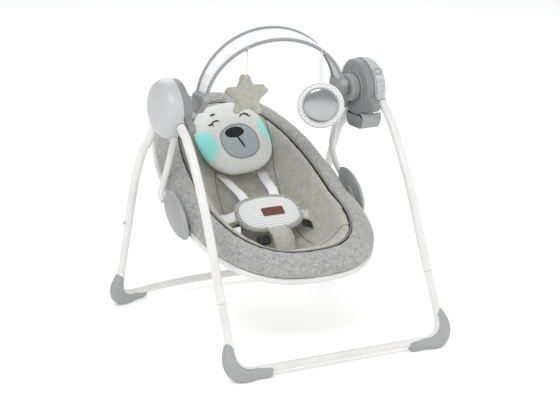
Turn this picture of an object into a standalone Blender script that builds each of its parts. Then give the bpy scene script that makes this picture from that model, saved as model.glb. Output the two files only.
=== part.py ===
"""Folding baby swing: a tube stand with two hub units, a hanging reclining seat and a toy bar.

Metres, +Z up, front of the seat towards -Y, origin on the floor under the middle of the swing.
Y values below are counted from the swing axis; AXIS_Y moves them to the part's own origin.
"""
import math

import bmesh
import bpy
from mathutils import Matrix, Vector

# Driving dimensions
AXIS_Y = 0.0012
AXIS_Z = 0.539
GAP = 0.0004
LEG_X_TOP = 0.258
LEG_X_FLOOR = 0.265
LEG_R = 0.0102
BASE_R = 0.0093
WALL = 0.0012
FRONT_FLOOR_Y = -0.348
REAR_FLOOR_Y = 0.2735
FLOOR_TUBE_Z = 0.020
CORNER_R = 0.030
SHOE_R = 0.0208
REAR_BOW = 0.050
FOLD_Y, FOLD_Z = 0.066, 0.499
HUB_R = 0.068
HUB_INNER_X, HUB_SPLIT_X = 0.2265, 0.2450
COVER_WALL = 0.0025
AXLE_R = 0.006
DRUM_R = 0.0325
ARM_R = 0.0075
RECLINE_Y, RECLINE_Z = 0.0125, 0.284
RIM_R = 0.008
RIM_HALF_WIDTH = 0.210
RIM_JOIN_Y, RIM_JOIN_Z = 0.0085, 0.257
RIM_FRONT_LENGTH, RIM_FRONT_SLOPE, RIM_FRONT_POWER = 0.276, math.radians(-17.8), 2.57
RIM_BACK_LENGTH, RIM_BACK_SLOPE, RIM_BACK_POWER = 0.400, math.radians(28.7), 2.46
ARCH_HALF_WIDTH = 0.178
ARCH_REAR_Y, ARCH_REAR_RISE = 0.0085, 0.159
ARCH_FRONT_Y, ARCH_FRONT_RISE = -0.0375, 0.139
WIRE_R = 0.0034
TOY_TURN = math.radians(-28)
STAR_X, STAR_R, STAR_Z = -0.073, 0.052, 0.556
MIRROR_X, MIRROR_R, MIRROR_Z = 0.117, 0.054, 0.514

for old in list(bpy.data.objects):
    bpy.data.objects.remove(old, do_unlink=True)
parts = bpy.data.collections.new("baby_swing")
cutters = bpy.data.collections.new("cutters")
for group in (parts, cutters):
    bpy.context.scene.collection.children.link(group)


# Materials
def material(name, colour, roughness, metallic=0.0):
    made = bpy.data.materials.new(name)
    made.use_nodes = True
    shader = made.node_tree.nodes["Principled BSDF"]
    shader.inputs["Base Color"].default_value = (*colour, 1)
    shader.inputs["Roughness"].default_value = roughness
    shader.inputs["Metallic"].default_value = metallic
    return made


WHITE_PAINT = material("white_painted_steel", (0.80, 0.80, 0.79), 0.35)
GREY_PLASTIC = material("grey_plastic", (0.45, 0.47, 0.48), 0.45)
LIGHT_PLASTIC = material("light_grey_plastic", (0.62, 0.64, 0.65), 0.4)
DARK_PLASTIC = material("dark_grey_plastic", (0.14, 0.15, 0.15), 0.5)
BLACK_PLASTIC = material("black_plastic", (0.02, 0.02, 0.02), 0.5)
STEEL = material("steel", (0.6, 0.6, 0.6), 0.3, 1.0)
COPPER = material("copper_winding", (0.6, 0.3, 0.15), 0.35, 1.0)
BOARD = material("circuit_board", (0.03, 0.2, 0.08), 0.6)
MELANGE = material("grey_melange_fabric", (0.38, 0.37, 0.36), 0.95)
VELOUR = material("beige_velour", (0.42, 0.41, 0.34), 0.95)
WEBBING = material("white_webbing", (0.8, 0.8, 0.8), 0.8)
MESH_CLOTH = material("white_mesh", (0.75, 0.76, 0.76), 0.8)
PLUSH = material("off_white_plush", (0.7, 0.7, 0.66), 0.9)
STAR_PLUSH = material("beige_plush", (0.45, 0.42, 0.34), 0.95)
CHEVRON = material("chevron_fabric", (0.75, 0.75, 0.74), 0.85)
MIRROR = material("mirror_plastic", (0.75, 0.78, 0.8), 0.08, 1.0)


# Joint axes: every moving piece hangs on the empty of its own joint
def pivot(name, y, z, x=0.0, parent=None):
    empty = bpy.data.objects.new(name, None)
    parts.objects.link(empty)
    empty.location = (x, AXIS_Y + y, z)
    bpy.context.view_layer.update()
    if parent:
        keep_place(empty, parent)
    return empty


def keep_place(obj, parent):
    world = obj.matrix_world.copy()
    obj.parent = parent
    obj.matrix_parent_inverse = parent.matrix_world.inverted()
    bpy.context.view_layer.update()
    obj.matrix_world = world


STAND = pivot("stand_origin", 0, 0)
FOLD = pivot("fold_axis", FOLD_Y, FOLD_Z, parent=STAND)
SWING = pivot("swing_axis", 0, AXIS_Z, parent=STAND)
SEAT = pivot("recline_axis", RECLINE_Y, RECLINE_Z, parent=SWING)
TOYS = pivot("toy_bar_axis", 0, AXIS_Z, parent=SWING)


def finish(obj, name, mat, parent, smooth=True):
    obj.name = name
    obj.data.name = name
    for other in list(obj.users_collection):
        other.objects.unlink(obj)
    parts.objects.link(obj)
    obj.data.materials.clear()
    obj.data.materials.append(mat)
    if smooth and obj.type == "MESH":
        obj.data.shade_smooth()
        obj.data.set_sharp_from_angle(angle=math.radians(35))
    bpy.context.view_layer.update()
    keep_place(obj, parent)
    return obj


def as_cutter(obj):
    for other in list(obj.users_collection):
        other.objects.unlink(obj)
    cutters.objects.link(obj)
    obj.hide_render = True
    obj.display_type = "WIRE"
    return obj


def cut(obj, *tools, operation="DIFFERENCE"):
    for tool in tools:
        boolean = obj.modifiers.new("cut", "BOOLEAN")
        boolean.operation = operation
        boolean.solver = "EXACT"
        boolean.object = as_cutter(tool)


def new_mesh_object(name, bm):
    mesh = bpy.data.meshes.new(name)
    bm.to_mesh(mesh)
    bm.free()
    obj = bpy.data.objects.new(name, mesh)
    bpy.context.scene.collection.objects.link(obj)
    return obj


# Curves
def smooth_path(points, steps=6):
    """Catmull-Rom points through the given ones."""
    pts = [Vector(p) for p in points]
    pts = [2 * pts[0] - pts[1], *pts, 2 * pts[-1] - pts[-2]]
    out = []
    for a, b, c, d in zip(pts, pts[1:], pts[2:], pts[3:]):
        for k in range(steps):
            t = k / steps
            out.append(0.5 * (2 * b + (c - a) * t + (2 * a - 5 * b + 4 * c - d) * t ** 2
                              + (3 * b - a - 3 * c + d) * t ** 3))
    out.append(pts[-2])
    return out


def rounded_corner(before, corner, after, radius, steps=4):
    """The points of an arc that rounds one corner of a bent tube."""
    a = (Vector(before) - Vector(corner)).normalized()
    b = (Vector(after) - Vector(corner)).normalized()
    start, end = Vector(corner) + a * radius, Vector(corner) + b * radius
    return [(1 - t) ** 2 * start + 2 * t * (1 - t) * Vector(corner) + t ** 2 * end
            for t in (k / steps for k in range(steps + 1))]


def tube(name, points, radius, closed=False, sides=3, caps=True, radii=None, shift=True):
    """A round bar along points, whose Y is counted from the swing axis."""
    curve = bpy.data.curves.new(name, "CURVE")
    curve.dimensions = "3D"
    curve.bevel_depth = radius
    curve.bevel_resolution = sides
    curve.use_fill_caps = caps and not closed
    spline = curve.splines.new("POLY")
    spline.points.add(len(points) - 1)
    spline.use_cyclic_u = closed
    for i, p in enumerate(points):
        spline.points[i].co = (p[0], p[1] + (AXIS_Y if shift else 0), p[2], 1)
        spline.points[i].radius = radii[i] if radii else 1
    obj = bpy.data.objects.new(name, curve)
    bpy.context.scene.collection.objects.link(obj)
    return obj


def as_mesh(curve_obj):
    bpy.context.view_layer.update()
    graph = bpy.context.evaluated_depsgraph_get()
    mesh = bpy.data.meshes.new_from_object(curve_obj.evaluated_get(graph))
    bm = bmesh.new()
    bm.from_mesh(mesh)
    bmesh.ops.remove_doubles(bm, verts=bm.verts, dist=0.00002)
    bm.to_mesh(mesh)
    bm.free()
    obj = bpy.data.objects.new(curve_obj.name, mesh)
    bpy.context.scene.collection.objects.link(obj)
    obj.matrix_world = curve_obj.matrix_world
    bpy.data.objects.remove(curve_obj)
    return obj


def pipe(name, points, radius, sides=2):
    """An open-ended steel tube with a real wall."""
    obj = as_mesh(tube(name, points, radius, caps=False, sides=sides))
    wall = obj.modifiers.new("wall", "SOLIDIFY")
    wall.thickness = WALL
    wall.offset = -1
    wall.use_rim = True
    return obj


def disc(name, x_from, x_to, y, z, radius, segments=32):
    """A cylinder along X between two X places; y is counted from the swing axis."""
    bpy.ops.mesh.primitive_cylinder_add(vertices=segments, radius=radius, depth=abs(x_to - x_from),
                                        location=((x_from + x_to) / 2, AXIS_Y + y, z),
                                        rotation=(0, math.pi / 2, 0))
    obj = bpy.context.object
    obj.name = name
    return obj


def block(name, centre, size, bevel=0.0, turn=(0, 0, 0)):
    bpy.ops.mesh.primitive_cube_add(size=1, location=(centre[0], AXIS_Y + centre[1], centre[2]),
                                    rotation=turn)
    obj = bpy.context.object
    obj.name = name
    obj.data.transform(Matrix.Diagonal((*size, 1)))
    if bevel:
        edge = obj.modifiers.new("edge", "BEVEL")
        edge.width = bevel
        edge.segments = 2
    return obj


def plate(name, outline, x_from, x_to):
    """A flat outline of (y, z) points, extruded along X."""
    curve = bpy.data.curves.new(name, "CURVE")
    curve.dimensions = "2D"
    curve.fill_mode = "BOTH"
    curve.extrude = abs(x_to - x_from) / 2
    spline = curve.splines.new("POLY")
    spline.points.add(len(outline) - 1)
    spline.use_cyclic_u = True
    for i, (y, z) in enumerate(outline):
        spline.points[i].co = (y, z, 0, 1)
    obj = bpy.data.objects.new(name, curve)
    bpy.context.scene.collection.objects.link(obj)
    obj.rotation_euler = (math.pi / 2, 0, math.pi / 2)
    obj.location = ((x_from + x_to) / 2, AXIS_Y, 0)
    return as_mesh(obj)


def hull_outline(circles, steps=8):
    """The taut outline round some (y, z, radius) circles, as (y, z) points."""
    cloud = [(y + r * math.cos(2 * math.pi * k / (4 * steps)), z + r * math.sin(2 * math.pi * k / (4 * steps)))
             for y, z, r in circles for k in range(4 * steps)]
    cloud.sort()

    def half(points):
        chain = []
        for p in points:
            while len(chain) > 1 and ((chain[-1][0] - chain[-2][0]) * (p[1] - chain[-2][1])
                                      <= (chain[-1][1] - chain[-2][1]) * (p[0] - chain[-2][0])):
                chain.pop()
            chain.append(p)
        return chain

    return half(cloud)[:-1] + half(cloud[::-1])[:-1]


def side_name(base, side):
    return base + ("_left" if side < 0 else "_right")


def leg_x(z):
    """Half spacing of the legs, which spread a little towards the floor."""
    return LEG_X_FLOOR + (LEG_X_TOP - LEG_X_FLOOR) * (z - FLOOR_TUBE_Z) / (0.51 - FLOOR_TUBE_Z)


# Stand: front and rear legs, floor tubes and corner feet
FRONT_LEG = [(-0.0770, 0.512), (-0.1080, 0.487), (-0.1500, 0.432), (-0.2080, 0.3300), (-0.2590, 0.2100),
             (-0.2830, 0.1600)]
REAR_LEG = [(0.0660, 0.504), (0.0760, 0.4700), (0.1010, 0.4380), (0.1300, 0.4100), (0.1720, 0.3300),
            (0.2000, 0.2500), (0.2140, 0.2050)]


def leg_points(side, profile):
    return smooth_path([(side * leg_x(z), y, z) for y, z in profile], 2)


def floor_tube_points(floor_y, top, bow):
    """One leg stub, the floor bar and the other leg stub of a bent floor tube."""
    half, top_x = LEG_X_FLOOR, leg_x(top[1])
    left_top, left = (-top_x, top[0], top[1]), (-half, floor_y, FLOOR_TUBE_Z)
    right_top, right = (top_x, top[0], top[1]), (half, floor_y, FLOOR_TUBE_Z)
    bar = [(half * k / 6, floor_y + bow * (1 - (k / 6) ** 2), FLOOR_TUBE_Z)
           for k in (range(-5, 6) if bow else (-5, 5))]
    return ([Vector(left_top)] + rounded_corner(left_top, left, bar[0], CORNER_R)
            + [Vector(p) for p in bar] + rounded_corner(bar[-1], right, right_top, CORNER_R)
            + [Vector(right_top)])


STUB_GAP = 0.0005
front_top = (-0.2832, 0.1600 - STUB_GAP)
rear_top = (0.2141, 0.2050 - STUB_GAP)
SNAP_Y, SNAP_Z, SNAP_R = 0.2090, 0.2220, 0.0038
for side in (-1, 1):
    finish(pipe("leg", leg_points(side, FRONT_LEG), LEG_R), side_name("front_leg", side), WHITE_PAINT, STAND)
    leg = pipe("leg", leg_points(side, REAR_LEG), LEG_R)
    middle = side * leg_x(SNAP_Z)
    cut(leg, disc("snap_hole", middle, middle + side * 0.02, SNAP_Y, SNAP_Z, SNAP_R + 0.0005, 16))
    finish(leg, side_name("rear_leg", side), WHITE_PAINT, FOLD)
    # The sprung button that locks this leg onto its floor tube
    button = disc("snap", middle + side * 0.0035, middle + side * (LEG_R + 0.0032), SNAP_Y, SNAP_Z, SNAP_R, 16)
    finish(button, side_name("leg_snap_button", side), STEEL, FOLD)


def foot(name, floor_y, top, bow, side, body):
    """A moulded shoe over the corner of a floor tube, flat underneath."""
    x, inward = side * LEG_X_FLOOR, -side
    corner = Vector((x, floor_y, FLOOR_TUBE_Z))
    up = (Vector((side * leg_x(top[1]), top[0], top[1])) - corner).normalized()
    first = Vector((x + inward * LEG_X_FLOOR / 6, floor_y + bow * (1 - (5 / 6) ** 2), FLOOR_TUBE_Z))
    along = (first - corner).normalized()
    path = ([corner + up * 0.062] + rounded_corner(corner + up, corner, corner + along, 0.034, 4)
            + [corner + along * 0.078])
    widths = [0.70, 0.88, 1.04, 1.14, 1.14, 1.10, 0.72]
    shoe = as_mesh(tube(name, path, SHOE_R, radii=widths))
    tool = as_mesh(tube(name + "_bore", floor_tube_points(floor_y, top, bow), BASE_R + GAP, sides=2))
    below = block(name + "_floor", (x, floor_y, -0.05), (0.4, 0.4, 0.1))
    cut(shoe, tool, below)
    return finish(shoe, name, GREY_PLASTIC, body)


for label, floor_y, top, bow, body in (("front", FRONT_FLOOR_Y, front_top, 0.0, STAND),
                                       ("rear", REAR_FLOOR_Y, rear_top, REAR_BOW, FOLD)):
    base = pipe(label + "_floor_tube", floor_tube_points(floor_y, top, bow), BASE_R)
    finish(base, label + "_floor_tube", WHITE_PAINT, body)
    for side in (-1, 1):
        foot(side_name("foot_" + label, side), floor_y, top, bow, side, body)

# Hub units: inner housing, outer cover, axle and bush on each side
HOUSING_R = 0.0655
HOUSING_LOBES = [(-0.0960, 0.4970, 0.0140), (FOLD_Y, FOLD_Z, 0.0150)]
for side in (-1, 1):
    housing = disc("housing", side * HUB_INNER_X, side * HUB_SPLIT_X, 0, AXIS_Z, HOUSING_R, 36)
    for y, z, radius in HOUSING_LOBES:
        lobe = plate("lobe", hull_outline([(y / 3, (2 * AXIS_Z + z) / 3, 0.022), (y, z, radius)], 5),
                     side * (HUB_INNER_X + 0.0010), side * (HUB_SPLIT_X - 0.0005))
        cut(housing, lobe, operation="UNION")
    bore = disc("bore", side * (HUB_INNER_X - 0.01), side * (HUB_SPLIT_X + 0.01), 0, AXIS_Z, 0.0092)
    cut(housing, bore)
    finish(housing, side_name("hub_housing", side), DARK_PLASTIC, STAND)

    cover_profile = [(0.0, 0.0445), (0.030, 0.0435), (0.048, 0.0395), (0.060, 0.0310), (0.0668, 0.0190),
                     (HUB_R, 0.0)]
    bm = bmesh.new()
    verts = [bm.verts.new((r, 0, h)) for r, h in cover_profile]
    for a, b in zip(verts, verts[1:]):
        bm.edges.new((a, b))
    cover = new_mesh_object("cover", bm)
    spin = cover.modifiers.new("spin", "SCREW")
    spin.angle = math.tau
    spin.steps = spin.render_steps = 28
    spin.axis = "Z"
    spin.use_merge_vertices = True
    spin.merge_threshold = 0.0001
    wall = cover.modifiers.new("wall", "SOLIDIFY")
    wall.thickness = COVER_WALL
    wall.offset = -1
    cover.location = (side * (HUB_SPLIT_X + GAP), AXIS_Y, AXIS_Z)
    cover.rotation_euler = (0, side * math.pi / 2, 0)
    bpy.context.view_layer.update()
    tip_y, tip_z = FRONT_LEG[0]
    notch = as_mesh(tube("notch", [(side * leg_x(tip_z), tip_y + 0.012, tip_z + 0.010),
                                   (side * leg_x(tip_z), tip_y - 0.04, tip_z - 0.03)], LEG_R + 0.0012, sides=3))
    rear_notch = as_mesh(tube("rear_notch", [(side * leg_x(FOLD_Z), FOLD_Y - 0.016, FOLD_Z + 0.006),
                                             (side * leg_x(FOLD_Z), FOLD_Y + 0.05, FOLD_Z - 0.05)],
                              LEG_R + 0.006, sides=3))
    cut(cover, notch, rear_notch)
    finish(cover, side_name("hub_cover", side), LIGHT_PLASTIC, STAND)

    bush = disc("bush", side * (HUB_INNER_X + 0.001), side * (HUB_SPLIT_X - 0.001), 0, AXIS_Z, 0.0089, 24)
    hole = disc("bush_hole", side * HUB_INNER_X, side * HUB_SPLIT_X, 0, AXIS_Z, AXLE_R + 0.0003, 24)
    cut(bush, hole)
    finish(bush, side_name("axle_bush", side), BLACK_PLASTIC, STAND)
    axle = disc("axle", side * 0.2080, side * 0.2640, 0, AXIS_Z, AXLE_R, 24)
    finish(axle, side_name("swing_axle", side), STEEL, SWING)
    pin_x = side * (HUB_SPLIT_X + GAP)
    leg_pin = disc("fold_pin", pin_x, pin_x + side * 0.0018, FOLD_Y, FOLD_Z, 0.006, 16)
    finish(leg_pin, side_name("fold_pin", side), STEEL, FOLD)

# Drive, electronics and battery box in the right hub
lever = plate("lever", hull_outline([(0, AXIS_Z, 0.0105), (0, AXIS_Z - 0.040, 0.008)], 5), 0.2500, 0.2560)
cut(lever, disc("lever_bore", 0.24, 0.27, 0, AXIS_Z, AXLE_R + 0.00005, 24))
finish(lever, "drive_lever", BLACK_PLASTIC, SWING)
magnet = disc("magnet", 0.2563, 0.2603, 0, AXIS_Z - 0.040, 0.007, 20)
finish(magnet, "drive_magnet", STEEL, SWING)
coil = disc("coil", 0.2625, 0.2690, 0, AXIS_Z - 0.040, 0.013, 24)
cut(coil, disc("coil_hole", 0.26, 0.272, 0, AXIS_Z - 0.040, 0.004, 16))
finish(coil, "drive_coil", COPPER, STAND)
board = block("board", (0.2712, 0, AXIS_Z), (0.0016, 0.070, 0.086))
finish(board, "circuit_board", BOARD, STAND, smooth=False)
speaker = disc("speaker", 0.2560, 0.2700, -0.030, AXIS_Z + 0.020, 0.016, 24)
finish(speaker, "speaker", BLACK_PLASTIC, STAND)


box_outline = hull_outline([(-0.027, 0.4680, 0.014), (0.027, 0.4680, 0.014), (-0.020, 0.4560, 0.0145),
                            (0.020, 0.4560, 0.0145)], 4)
BOX_IN_X, BOX_OUT_X = 0.2290, 0.2790
box = plate("box", box_outline, BOX_IN_X, BOX_OUT_X)
cavity = plate("cavity", hull_outline([(-0.025, 0.4665, 0.0115), (0.025, 0.4665, 0.0115),
                                       (-0.019, 0.4565, 0.0125), (0.019, 0.4565, 0.0125)], 4),
               BOX_IN_X - 0.01, BOX_OUT_X - 0.0025)
under_hub = disc("under_hub", BOX_IN_X - 0.02, BOX_OUT_X + 0.02, 0, AXIS_Z, HUB_R + GAP, 48)
cut(box, cavity, under_hub)
finish(box, "battery_box", GREY_PLASTIC, STAND)
cells = []
for x in (0.2540, 0.2398, 0.2682):
    bpy.ops.mesh.primitive_cylinder_add(vertices=16, radius=0.0072, depth=0.049,
                                        location=(x, AXIS_Y, 0.4535), rotation=(math.pi / 2, 0, 0))
    cells.append(bpy.context.object)
cut(cells[0], *cells[1:], operation="UNION")
finish(cells[0], "battery_pack", COPPER, STAND)
door = plate("door", hull_outline([(-0.026, 0.4630, 0.010), (0.026, 0.4630, 0.010), (-0.019, 0.4560, 0.013),
                                   (0.019, 0.4560, 0.013)], 4), BOX_IN_X - 0.0022, BOX_IN_X - GAP)
finish(door, "battery_door", DARK_PLASTIC, STAND)

# Control panel on the front of the right hub, with its push buttons
PANEL_FROM, PANEL_TO = math.radians(43), math.radians(99)
PANEL_PROFILE = [(0.2490, 0.0693), (0.2640, 0.0686), (0.2730, 0.0652), (0.2730, 0.0675), (0.2650, 0.0712),
                 (0.2490, 0.0719)]
BUTTONS = {"power_button": (0.2580, math.radians(52), 0.0062), "music_button": (0.2530, math.radians(70), 0.0036),
           "timer_button": (0.2630, math.radians(70), 0.0036)}
BUTTON_BASE, BUTTON_HEIGHT = 0.0708, 0.0022


def from_hub(x, radius, angle):
    """A point beside the swing axis; the angle runs from straight up towards the front."""
    return Vector((x, AXIS_Y - radius * math.sin(angle), AXIS_Z + radius * math.cos(angle)))


bm = bmesh.new()
corners = [bm.verts.new(from_hub(x, r, PANEL_FROM)) for x, r in PANEL_PROFILE]
face = bm.faces.new(corners)
bmesh.ops.spin(bm, geom=[face, *face.edges, *face.verts], cent=(0, AXIS_Y, AXIS_Z), axis=(1, 0, 0),
               angle=PANEL_TO - PANEL_FROM, steps=14, use_duplicate=False)
bmesh.ops.recalc_face_normals(bm, faces=bm.faces)
panel = new_mesh_object("panel", bm)
holes = []
for name, (x, angle, radius) in BUTTONS.items():
    for kind, size, low, high in (("hole", radius + 0.0005, 0.05, 0.09),
                                  ("button", radius, BUTTON_BASE, BUTTON_BASE + BUTTON_HEIGHT)):
        bpy.ops.mesh.primitive_cylinder_add(vertices=20, radius=size, depth=high - low,
                                            location=from_hub(x, (low + high) / 2, angle),
                                            rotation=(angle, 0, 0))
        made = bpy.context.object
        if kind == "hole":
            holes.append(made)
        else:
            finish(made, name, LIGHT_PLASTIC, STAND)
cut(panel, *holes)
finish(panel, "control_panel", LIGHT_PLASTIC, STAND)

# Hanging arms: a drum on each axle, a bent tube and the outer recline cover
ARM_PATH = [(0.2150, 0.0240, 0.5040), (0.2140, 0.0500, 0.4620), (0.2150, 0.0810, 0.3930), (0.2250, 0.0880, 0.3480),
            (0.2360, 0.0820, 0.3180), (0.2370, 0.0660, 0.3060)]
COVER_TILT = math.radians(37)
COVER_HALF_LENGTH, COVER_HALF_WIDTH, COVER_DEPTH = 0.068, 0.037, 0.0185
COVER_X = 0.2272


def arm_points(side):
    return smooth_path([(side * x, y, z) for x, y, z in ARM_PATH], 3)


for side in (-1, 1):
    drum = disc("drum", side * 0.2050, side * 0.2258, 0, AXIS_Z, DRUM_R)
    start, after = Vector(arm_points(side)[0]), Vector(arm_points(side)[2])
    way = (after - start).normalized()
    sleeve = as_mesh(tube("sleeve", [start - way * 0.020, start + way * 0.016], 0.0110, sides=4))
    cut(drum, sleeve, operation="UNION")
    cut(drum, as_mesh(tube("arm_bore", arm_points(side), ARM_R + GAP, sides=2)),
        disc("axle_bore", side * 0.2074, side * 0.2400, 0, AXIS_Z, AXLE_R + 0.0003, 24))
    finish(drum, side_name("arm_hub", side), GREY_PLASTIC, SWING)
    finish(pipe("arm", arm_points(side), ARM_R), side_name("arm_tube", side), WHITE_PAINT, SWING)

    bm = bmesh.new()
    bmesh.ops.create_uvsphere(bm, u_segments=24, v_segments=10, radius=1,
                              matrix=Matrix.Rotation(math.pi / 2, 4, "Y"))
    bmesh.ops.bisect_plane(bm, geom=bm.verts[:] + bm.edges[:] + bm.faces[:], plane_co=(0, 0, 0),
                           plane_no=(side, 0, 0), clear_inner=True)
    bmesh.ops.scale(bm, vec=(COVER_DEPTH, COVER_HALF_LENGTH, COVER_HALF_WIDTH), verts=bm.verts)
    shell = new_mesh_object("shell", bm)
    shell.location = (side * COVER_X, AXIS_Y + RECLINE_Y, RECLINE_Z)
    shell.rotation_euler = (COVER_TILT, 0, 0)
    wall = shell.modifiers.new("wall", "SOLIDIFY")
    wall.thickness = 0.0020
    wall.offset = -1
    bpy.context.view_layer.update()
    cut(shell, as_mesh(tube("arm_way", arm_points(side), ARM_R + 0.0006, sides=3)))
    finish(shell, side_name("recline_cover", side), GREY_PLASTIC, SWING)
    ear = plate("ear", hull_outline([(RECLINE_Y, RECLINE_Z, 0.013), (0.040, 0.2740, 0.009),
                                     (-0.022, 0.2480, 0.009)], 5), side * 0.2188, side * 0.2266)
    cut(ear, disc("ear_pin", side * 0.2200, side * 0.2400, RECLINE_Y, RECLINE_Z, 0.0060, 20), operation="UNION")
    finish(ear, side_name("recline_plate", side), GREY_PLASTIC, SEAT)


# Seat: an oval steel rim in two halves, a padded border round it and a sewn bucket inside
def rim_point(t, back, inward=0.0, up=0.0):
    """A point beside the seat rim: t is -90 to 90 degrees across one half, inward and up are offsets from the tube."""
    power = RIM_BACK_POWER if back else RIM_FRONT_POWER
    length = RIM_BACK_LENGTH if back else RIM_FRONT_LENGTH
    slope = RIM_BACK_SLOPE if back else RIM_FRONT_SLOPE
    reach = abs(math.cos(t)) ** (2 / power)
    x = (RIM_HALF_WIDTH - inward) * math.copysign(abs(math.sin(t)) ** (2 / power), t)
    s = (length - inward) * reach
    mean = (RIM_BACK_SLOPE - RIM_FRONT_SLOPE) / 2
    own = slope if back else -slope
    blend = min(1.0, s / 0.08)
    lean = mean + (own - mean) * blend * blend * (3 - 2 * blend)
    direction = 1 if back else -1
    y = RIM_JOIN_Y + direction * s * math.cos(slope) - up * math.sin(lean)
    z = RIM_JOIN_Z + s * math.sin(slope) + up * math.cos(lean)
    return Vector((x, y, z))


def half_rim(back, inward=0.0, up=0.0, steps=26, open_ends=0.0):
    limit = math.pi / 2 - open_ends
    return [rim_point(-limit + 2 * limit * k / steps, back, inward, up) for k in range(steps + 1)]


for back, name in ((False, "seat_frame_front"), (True, "seat_frame_back")):
    finish(pipe(name, half_rim(back, steps=20, open_ends=0.003), RIM_R), name, WHITE_PAINT, SEAT)

# Section of the padded border as (inward, up) offsets from the rim tube
BORDER_SECTION = [(-0.0055, 0.0090), (-0.0045, 0.0230), (0.0050, 0.0370), (0.0220, 0.0470), (0.0400, 0.0490),
                  (0.0480, 0.0430), (0.0440, 0.0330), (0.0280, 0.0200), (0.0110, 0.0105)]
BORDER_STEPS = 20


def closed_sweep(name, section, steps):
    """A closed band swept round the whole rim with the given section."""
    bm = bmesh.new()
    limit = math.pi / 2
    turns = ([(False, -limit + 2 * limit * k / steps) for k in range(steps)]
             + [(True, limit - 2 * limit * k / steps) for k in range(steps)])
    rings = []
    for back, t in turns:
        ring = [bm.verts.new(rim_point(t, back, inward, up) + Vector((0, AXIS_Y, 0))) for inward, up in section]
        rings.append([bm.edges.new((a, b)) for a, b in zip(ring, ring[1:] + ring[:1])])
    for a, b in zip(rings, rings[1:] + rings[:1]):
        bmesh.ops.bridge_loops(bm, edges=a + b)
    bmesh.ops.recalc_face_normals(bm, faces=bm.faces)
    return new_mesh_object(name, bm)


finish(closed_sweep("border", BORDER_SECTION, BORDER_STEPS), "seat_border", MELANGE, SEAT)

# Middle line of the bucket from the front edge to the top, as (y, z)
SEAT_LINE = [(-0.230, 0.214), (-0.190, 0.187), (-0.140, 0.170), (-0.090, 0.162), (-0.040, 0.164), (0.012, 0.177),
             (0.062, 0.207), (0.112, 0.249), (0.162, 0.296), (0.212, 0.344), (0.262, 0.394), (0.322, 0.462)]
PAD_IN, PAD_UP, PAD_THICK = 0.0600, 0.0400, 0.0080
BUCKET_MIDDLE_Y = 0.03


def seat_line_z(y):
    if y <= SEAT_LINE[0][0]:
        return SEAT_LINE[0][1]
    for (y0, z0), (y1, z1) in zip(SEAT_LINE, SEAT_LINE[1:]):
        if y <= y1:
            return z0 + (z1 - z0) * (y - y0) / (y1 - y0)
    return SEAT_LINE[-1][1]


def bucket_point(u, v):
    """Maps a square grid point to the sewn bucket's upper face."""
    across, ahead = u * math.sqrt(1 - v * v / 2), v * math.sqrt(1 - u * u / 2)
    share = math.hypot(across, ahead)
    t = math.atan2(across, abs(ahead)) if share else 0.0
    edge = rim_point(t, ahead > 0, PAD_IN, PAD_UP)
    y = BUCKET_MIDDLE_Y + share * (edge.y - BUCKET_MIDDLE_Y)
    z = seat_line_z(y) + (edge.z - seat_line_z(edge.y)) * share ** 3
    return Vector((share * edge.x, y, z))


bm = bmesh.new()
bmesh.ops.create_grid(bm, x_segments=11, y_segments=14, size=1)
for v in bm.verts:
    v.co = bucket_point(v.co.x, v.co.y) + Vector((0, AXIS_Y, 0))
pad = new_mesh_object("pad", bm)
thick = pad.modifiers.new("thickness", "SOLIDIFY")
thick.thickness = PAD_THICK
thick.offset = -1
finish(pad, "seat_pad", VELOUR, SEAT)

# Harness: belly pad, straps and buckle, and the head cushion
PAD_LEAN = math.radians(36.87)
BELLY = Vector((0, -0.0035, 0.263))
PAD_UPWARD = Vector((0, math.cos(PAD_LEAN), math.sin(PAD_LEAN)))
PAD_FACING = Vector((0, -math.sin(PAD_LEAN), math.cos(PAD_LEAN)))


def rounded_slab(name, centre, half_width, half_height, half_thickness, lean, turn=0.0, power=2.6):
    """A flat cushion: an ellipsoid squared off in its plane."""
    bm = bmesh.new()
    bmesh.ops.create_uvsphere(bm, u_segments=22, v_segments=9, radius=1)
    for v in bm.verts:
        flat = math.hypot(v.co.x, v.co.y)
        if flat > 1e-6:
            c, s = v.co.x / flat, v.co.y / flat
            round_off = (abs(c) ** power + abs(s) ** power) ** (-1 / power)
            v.co.x, v.co.y = c * flat * round_off, s * flat * round_off
        v.co.z = math.copysign(abs(v.co.z) ** 0.75, v.co.z)
    bmesh.ops.scale(bm, vec=(half_width, half_height, half_thickness), verts=bm.verts)
    obj = new_mesh_object(name, bm)
    obj.rotation_euler = (lean, turn, 0)
    obj.location = centre + Vector((0, AXIS_Y, 0))
    bpy.context.view_layer.update()
    return obj


HEAD, HEAD_LEAN = Vector((0, 0.1816, 0.4018)), math.radians(48)
finish(rounded_slab("belly", BELLY, 0.082, 0.050, 0.0100, PAD_LEAN), "belly_pad", CHEVRON, SEAT)
finish(rounded_slab("head", HEAD, 0.097, 0.097, 0.0250, HEAD_LEAN), "head_cushion", PLUSH, SEAT)


def ribbon(name, path, width_way, width, thickness):
    """A flat tape along path; width_way is the direction across it."""
    across = Vector(width_way).normalized() * width / 2
    bm = bmesh.new()
    points = [Vector(p) + Vector((0, AXIS_Y, 0)) for p in path]
    ends = [bm.verts.new(points[0] - across), bm.verts.new(points[0] + across)]
    edge = bm.edges.new(ends)
    for before, point in zip(points, points[1:]):
        grown = bmesh.ops.extrude_edge_only(bm, edges=[edge])["geom"]
        bmesh.ops.translate(bm, vec=point - before, verts=[g for g in grown if isinstance(g, bmesh.types.BMVert)])
        edge = next(g for g in grown if isinstance(g, bmesh.types.BMEdge))
    obj = new_mesh_object(name, bm)
    thick = obj.modifiers.new("thickness", "SOLIDIFY")
    thick.thickness = thickness
    thick.offset = 0
    bpy.context.view_layer.update()
    return obj


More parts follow.
